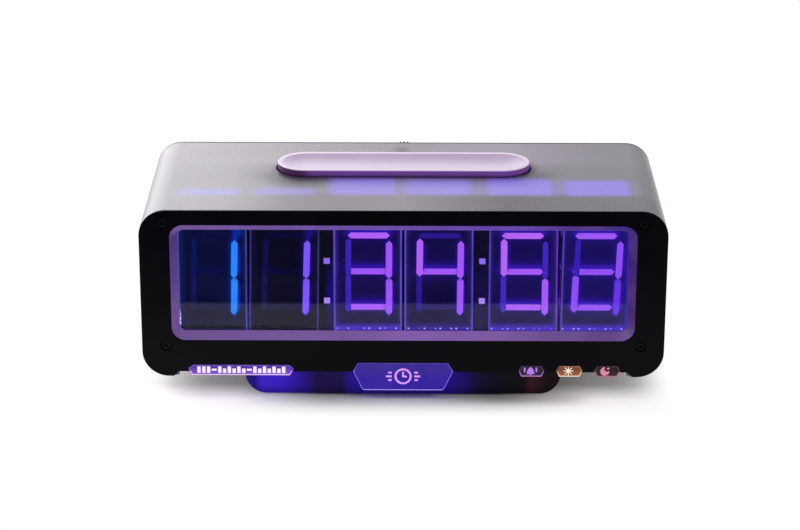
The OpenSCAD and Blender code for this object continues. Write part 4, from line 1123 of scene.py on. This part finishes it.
dress_nodes(rubber, "rubber_feet")

# ---- rear cover and bottom panel ----------------------------------------------------------------------
# Satin-black sheets, cut for the knob, two buttons, the supply socket and a row of air slots. Plain
# printed signs stand by the buttons and the socket.
panel = plain("satin_panel", srgb(15, 15, 17), 0.42, spec=0.25, wear=0.12)
refined("rear_cover", panel, 0.28, 2)
dress_nodes(panel, "bottom_panel")

REAR_Y, CONTROL_Z, BUTTON_X = 41.5 * MM, 74.6 * MM, 26 * MM
printed = plain("printed_sign", srgb(176, 174, 182), 0.6, spec=0.2)
inlet_low, inlet_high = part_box("usb_socket")
inlet_x, inlet_z = (inlet_low.x + inlet_high.x) / 2, (inlet_low.z + inlet_high.z) / 2
list_sign = [oblong(-1.6, foot, 1.6, foot + 0.4) for foot in (0.5, -0.2, -0.9)]
supply_sign = [oblong(-2.2, 0.3, 2.2, 0.7)] + [oblong(left, -0.5, left + 1.2, -0.1)
                                               for left in (-2.2, -0.6, 1.0)]
below_button = CONTROL_Z - 7.2 * MM
cut_marks("rear_signs",
          [set_at(ring, BUTTON_X, below_button) for ring in clock_sign(1.1, 1.5, 0.9, 0.7, 0.15, 0.1)]
          + [set_at(ring, -BUTTON_X, below_button) for ring in list_sign]
          + [set_at(ring, inlet_x, inlet_z + 5.2 * MM) for ring in supply_sign],
          printed, (REAR_Y - 0.1 * MM, REAR_Y + 0.03 * MM))

# ---- setting knob ---------------------------------------------------------------------------------------
# Black turned knob with rounded ribs round its side and a shallow dish in its end, pressed on a steel
# shaft. The shaft turns in the encoder's threaded neck, held by a nut.
KNOB_FOOT = 42.0 * MM
knob_black = plain("knob_black", srgb(17, 17, 19), 0.38, spec=0.35, wear=0.3)
knob_profile = [(6.9, 1.6), (6.9, 0.1), (9.3, 0.0), (9.75, 0.4), (9.75, 12.3), (9.6, 12.75), (9.1, 12.98),
                (8.2, 13.0), (7.7, 12.85), (6.6, 12.35), (4.5, 12.1), (0.4, 12.0)]
knob = turned(knob_profile, 64)
knob.data.transform(Matrix.Translation((0, KNOB_FOOT, CONTROL_Z)) @ Matrix.Rotation(pi, 4, "X"))
knob.data.set_sharp_from_angle(angle=radians(40))
knob.name = knob.data.name = "rear_knob_body"
dress(knob, knob_black, "setting_knob", ("rear_knob",))

ribs = Pattern("knob_ribs", Count=36, Reach=9.8 * MM, Length=11.9 * MM, Rib=0.5 * MM,
               Place=(0.0, 0.0, 0.0))
run = ribs.node("ShaderNodeCombineXYZ", None, {"Z": ribs.size("Length")})
bar = ribs.node("GeometryNodeCurveToMesh", None, {
    0: ribs.node("GeometryNodeCurvePrimitiveLine", None, {"End": run}),
    1: ribs.node("GeometryNodeCurvePrimitiveCircle", None, {"Resolution": 10, "Radius": ribs.size("Rib")}),
    "Fill Caps": True})
round_about = ribs.node("GeometryNodeMeshCircle", None,
                        {"Vertices": ribs.size("Count"), "Radius": ribs.size("Reach")})
standing = ribs.node("GeometryNodeInstanceOnPoints", None, {"Points": round_about, "Instance": bar})
ribs.ends(ribs.node("GeometryNodeTransform", None, {
    0: standing, "Rotation": (-pi / 2, 0.0, 0.0), "Translation": ribs.size("Place")}))
rib_piece = ribs.grow("rear_knob_ribs", knob_black, Place=(0.0, KNOB_FOOT + 0.6 * MM, CONTROL_Z))
dress(rib_piece, knob_black, "setting_knob")

index_line = oblong(-0.45, 5.0, 0.45, 8.2)
cut_marks("rear_knob_mark", [set_at(index_line, 0.0, CONTROL_Z)], printed,
          (KNOB_FOOT + 12.0 * MM, KNOB_FOOT + 12.98 * MM), "setting_knob")

for button in ("mode_button", "set_button"):
    refined(button, knob_black, 0.35, 3, body=button)

# ---- metal parts ------------------------------------------------------------------------------------------
# Drawn and turned steel and brass: brackets, pillars, shaft, nut, springs, cell and sockets. Rolled
# sheet has a long grain, and turned parts have a fine one.


def metal(name, colour, rough, grain_scale=160, stretch=(1, 18, 18)):
    """Bare metal, darker and lighter in clouds and along its grain."""
    finish = Finish(name)
    grain = finish.noise(grain_scale, 4, stretch)
    cloud = finish.noise(24, 3)
    return finish.surface(
        Base_Color=finish.mix(finish.step(cloud, 0.3, 0.7) * 0.5 + finish.step(grain, 0.3, 0.7) * 0.4,
                              scaled(colour, 0.66), colour),
        Metallic=1.0, Roughness=finish.step(grain, 0.3, 0.7, rough * 0.75, rough * 1.25),
        Normal=finish.bump(grain, 0.15, 0.00004))


turned_steel = metal("turned_steel", srgb(190, 190, 194), 0.26, 900, (1, 1, 1))
dress_nodes(metal("rolled_steel", srgb(176, 176, 180), 0.34),
            "side_brackets", "snooze_bracket", "ballast_plate", "controller_module", "usb_socket")
dress_nodes(turned_steel, "knob_shaft", "encoder", "encoder_nut", "snooze_springs", "display_spacers")
dress_nodes(metal("turned_brass", srgb(204, 164, 92), 0.28, 900, (1, 1, 1)),
            "corner_pillars", "board_standoffs")
dress_nodes(metal("cell_steel", srgb(206, 206, 208), 0.22, 300, (6, 6, 1)), "coin_cell")

# The tongue with its contacts inside the supply socket.
form = bmesh.new()
slab_between(form, set_at(oblong(-3.3, -0.35, 3.3, 0.35), inlet_x, inlet_z),
             inlet_high.y - 6 * MM, inlet_high.y - 0.8 * MM)
dress(broken_edges(solid_of("usb_tongue", form), 0.12 * MM), dark_moulded, "housing")


def standing_points(node, reach=6 * MM):
    """For each upright screw of a CAD node its middle, lowest and highest point."""
    screws = []
    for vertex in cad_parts[node].data.vertices:
        here = vertex.co
        for screw in screws:
            if hypot(screw[0].x - here.x, screw[0].y - here.y) < reach:
                screw.append(here)
                break
        else:
            screws.append([here])
    spans = [[(min(values), max(values)) for values in zip(*screw)] for screw in screws]
    return [(sum(xs) / 2, sum(ys) / 2, low_z, high_z) for xs, ys, (low_z, high_z) in spans]


# Pan-head screws with a hexagon socket hold the shelf of the bar and the boards, and longer ones,
# upside down, the plinth.
pan_head = [(1.25, -4.4), (1.25, 0.0), (2.2, 0.02), (2.2, 0.9), (2.0, 1.35), (1.5, 1.6)]
for node, shank, seed in (("bracket_screws", 4.4, 7), ("board_screws", 8.4, 9)):
    points = [(sx, sy, high_z - pan_head[-1][1] * MM) for sx, sy, _, high_z in standing_points(node)]
    head = turned([(r, h if h >= 0 else -shank) for r, h in pan_head], 28, 0.95, 0.9, axis="Z")
    fasten(node, turned_steel, points, head, (0.0, 0.0, 1.0), seed)
foot_head = [(1.5, -12.0), (1.5, -2.2), (2.7, -2.2), (2.7, -0.3), (2.4, 0.0)]
points = [(sx, sy, low_z) for sx, sy, low_z, _ in standing_points("base_screws")]
fasten("base_screws", turned_steel, points, turned(foot_head, 28, 1.2, 1.2, axis="Z"),
       (0.0, 0.0, 1.0), 11, flip=True)

# ---- boards and their parts -------------------------------------------------------------------------------
# Green circuit boards with fine copper tracks under the lacquer, four small lamps below every plate,
# and the bought parts soldered to them.
board = Finish("solder_lacquer")
tracks = board.node("ShaderNodeTexBrick", None, {
    "Vector": board.place(), "Scale": 130.0, "Mortar Size": 0.035, "Brick Width": 0.9,
    "Row Height": 0.14, "Color1": (0, 0, 0, 1), "Color2": (0, 0, 0, 1), "Mortar": (1, 1, 1, 1)})
blank = board.noise(45, 2)
track = board.node("ShaderNodeRGBToBW", None, {0: tracks}) * board.step(blank, 0.42, 0.5)
pads = board.specks(190, 0.13, 0.35)
lacquer = board.mix(track * 0.6, srgb(10, 54, 32), srgb(30, 96, 58))
solder_lacquer = board.surface(
    Base_Color=board.mix(pads, lacquer, srgb(196, 178, 120)), Metallic=pads * 0.8,
    Roughness=0.3 + blank * 0.12, Specular_IOR_Level=0.4,
    Normal=board.bump(track + pads, 0.3, 0.00004))
dress_nodes(solder_lacquer, "colon_boards", "display_board", "indicator_board", "main_board",
            "rear_board")
dress_nodes(plain("moulded_chip", srgb(20, 20, 22), 0.5, spec=0.3, wear=0.2),
            "driver_chips", "cell_holder", "sounder", "snooze_switch", "rear_fittings")
dress_nodes(plain("shrink_sleeve", srgb(30, 44, 96), 0.3, spec=0.5, wear=0.2), "capacitors")
dress_nodes(plain("cable_film", srgb(214, 206, 180), 0.4, wear=0.1), "link_cable")

# Small square lamps with domed windows. Those under the four brighter digits glow.
phosphor = Finish("lamp_phosphor")
x, _, _ = phosphor.axes()
speck = phosphor.noise(1500, 2)
glow = phosphor.step(x, -0.036, -0.03, 0.0, 0.4)
lamp_finish = phosphor.surface(
    Base_Color=phosphor.mix(phosphor.step(speck, 0.3, 0.7), srgb(40, 40, 48), srgb(52, 52, 60)),
    Roughness=0.4 + speck * 0.1, Specular_IOR_Level=0.2,
    Emission_Color=phosphor.mix(glow, (0, 0, 0, 1), srgb(110, 84, 250)), Emission_Strength=1.0)

LAMP_WIDTH, LAMP_DEPTH, LAMP_HEIGHT = 1.96 * MM, 1.56 * MM, 0.8 * MM
form = bmesh.new()
bmesh.ops.create_cube(form, size=1.0, matrix=Matrix.Translation((0, 0, LAMP_HEIGHT * 0.45))
                      @ Matrix.Diagonal((LAMP_WIDTH, LAMP_DEPTH, LAMP_HEIGHT * 0.9, 1)))
bmesh.ops.create_uvsphere(
    form, u_segments=12, v_segments=6, radius=1.0, matrix=Matrix.Translation((0, 0, LAMP_HEIGHT * 0.85))
    @ Matrix.Diagonal((LAMP_WIDTH * 0.36, LAMP_DEPTH * 0.36, LAMP_HEIGHT * 0.149, 1)))
lamp = piece_of("lamp_part", form)
lamp_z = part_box("display_leds")[0].z
points = []
for i in range(6):
    low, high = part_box(f"digit_{i + 1}")
    points += [((low.x + high.x) / 2 + (j - 1.5) * LAMP_PITCH,
                low.y + k * PLATE_STEP + PLATE_THICKNESS / 2, lamp_z)
               for k in range(len(PLATE_ORDER)) for j in range(4)]
lamps = set_out.grow("display_lamps", lamp_finish, points, Part=lamp)
bpy.data.objects.remove(lamp)
dress(lamps, lamp_finish, "housing", ("display_leds",))
dress_nodes(lamp_finish, "indicator_leds")
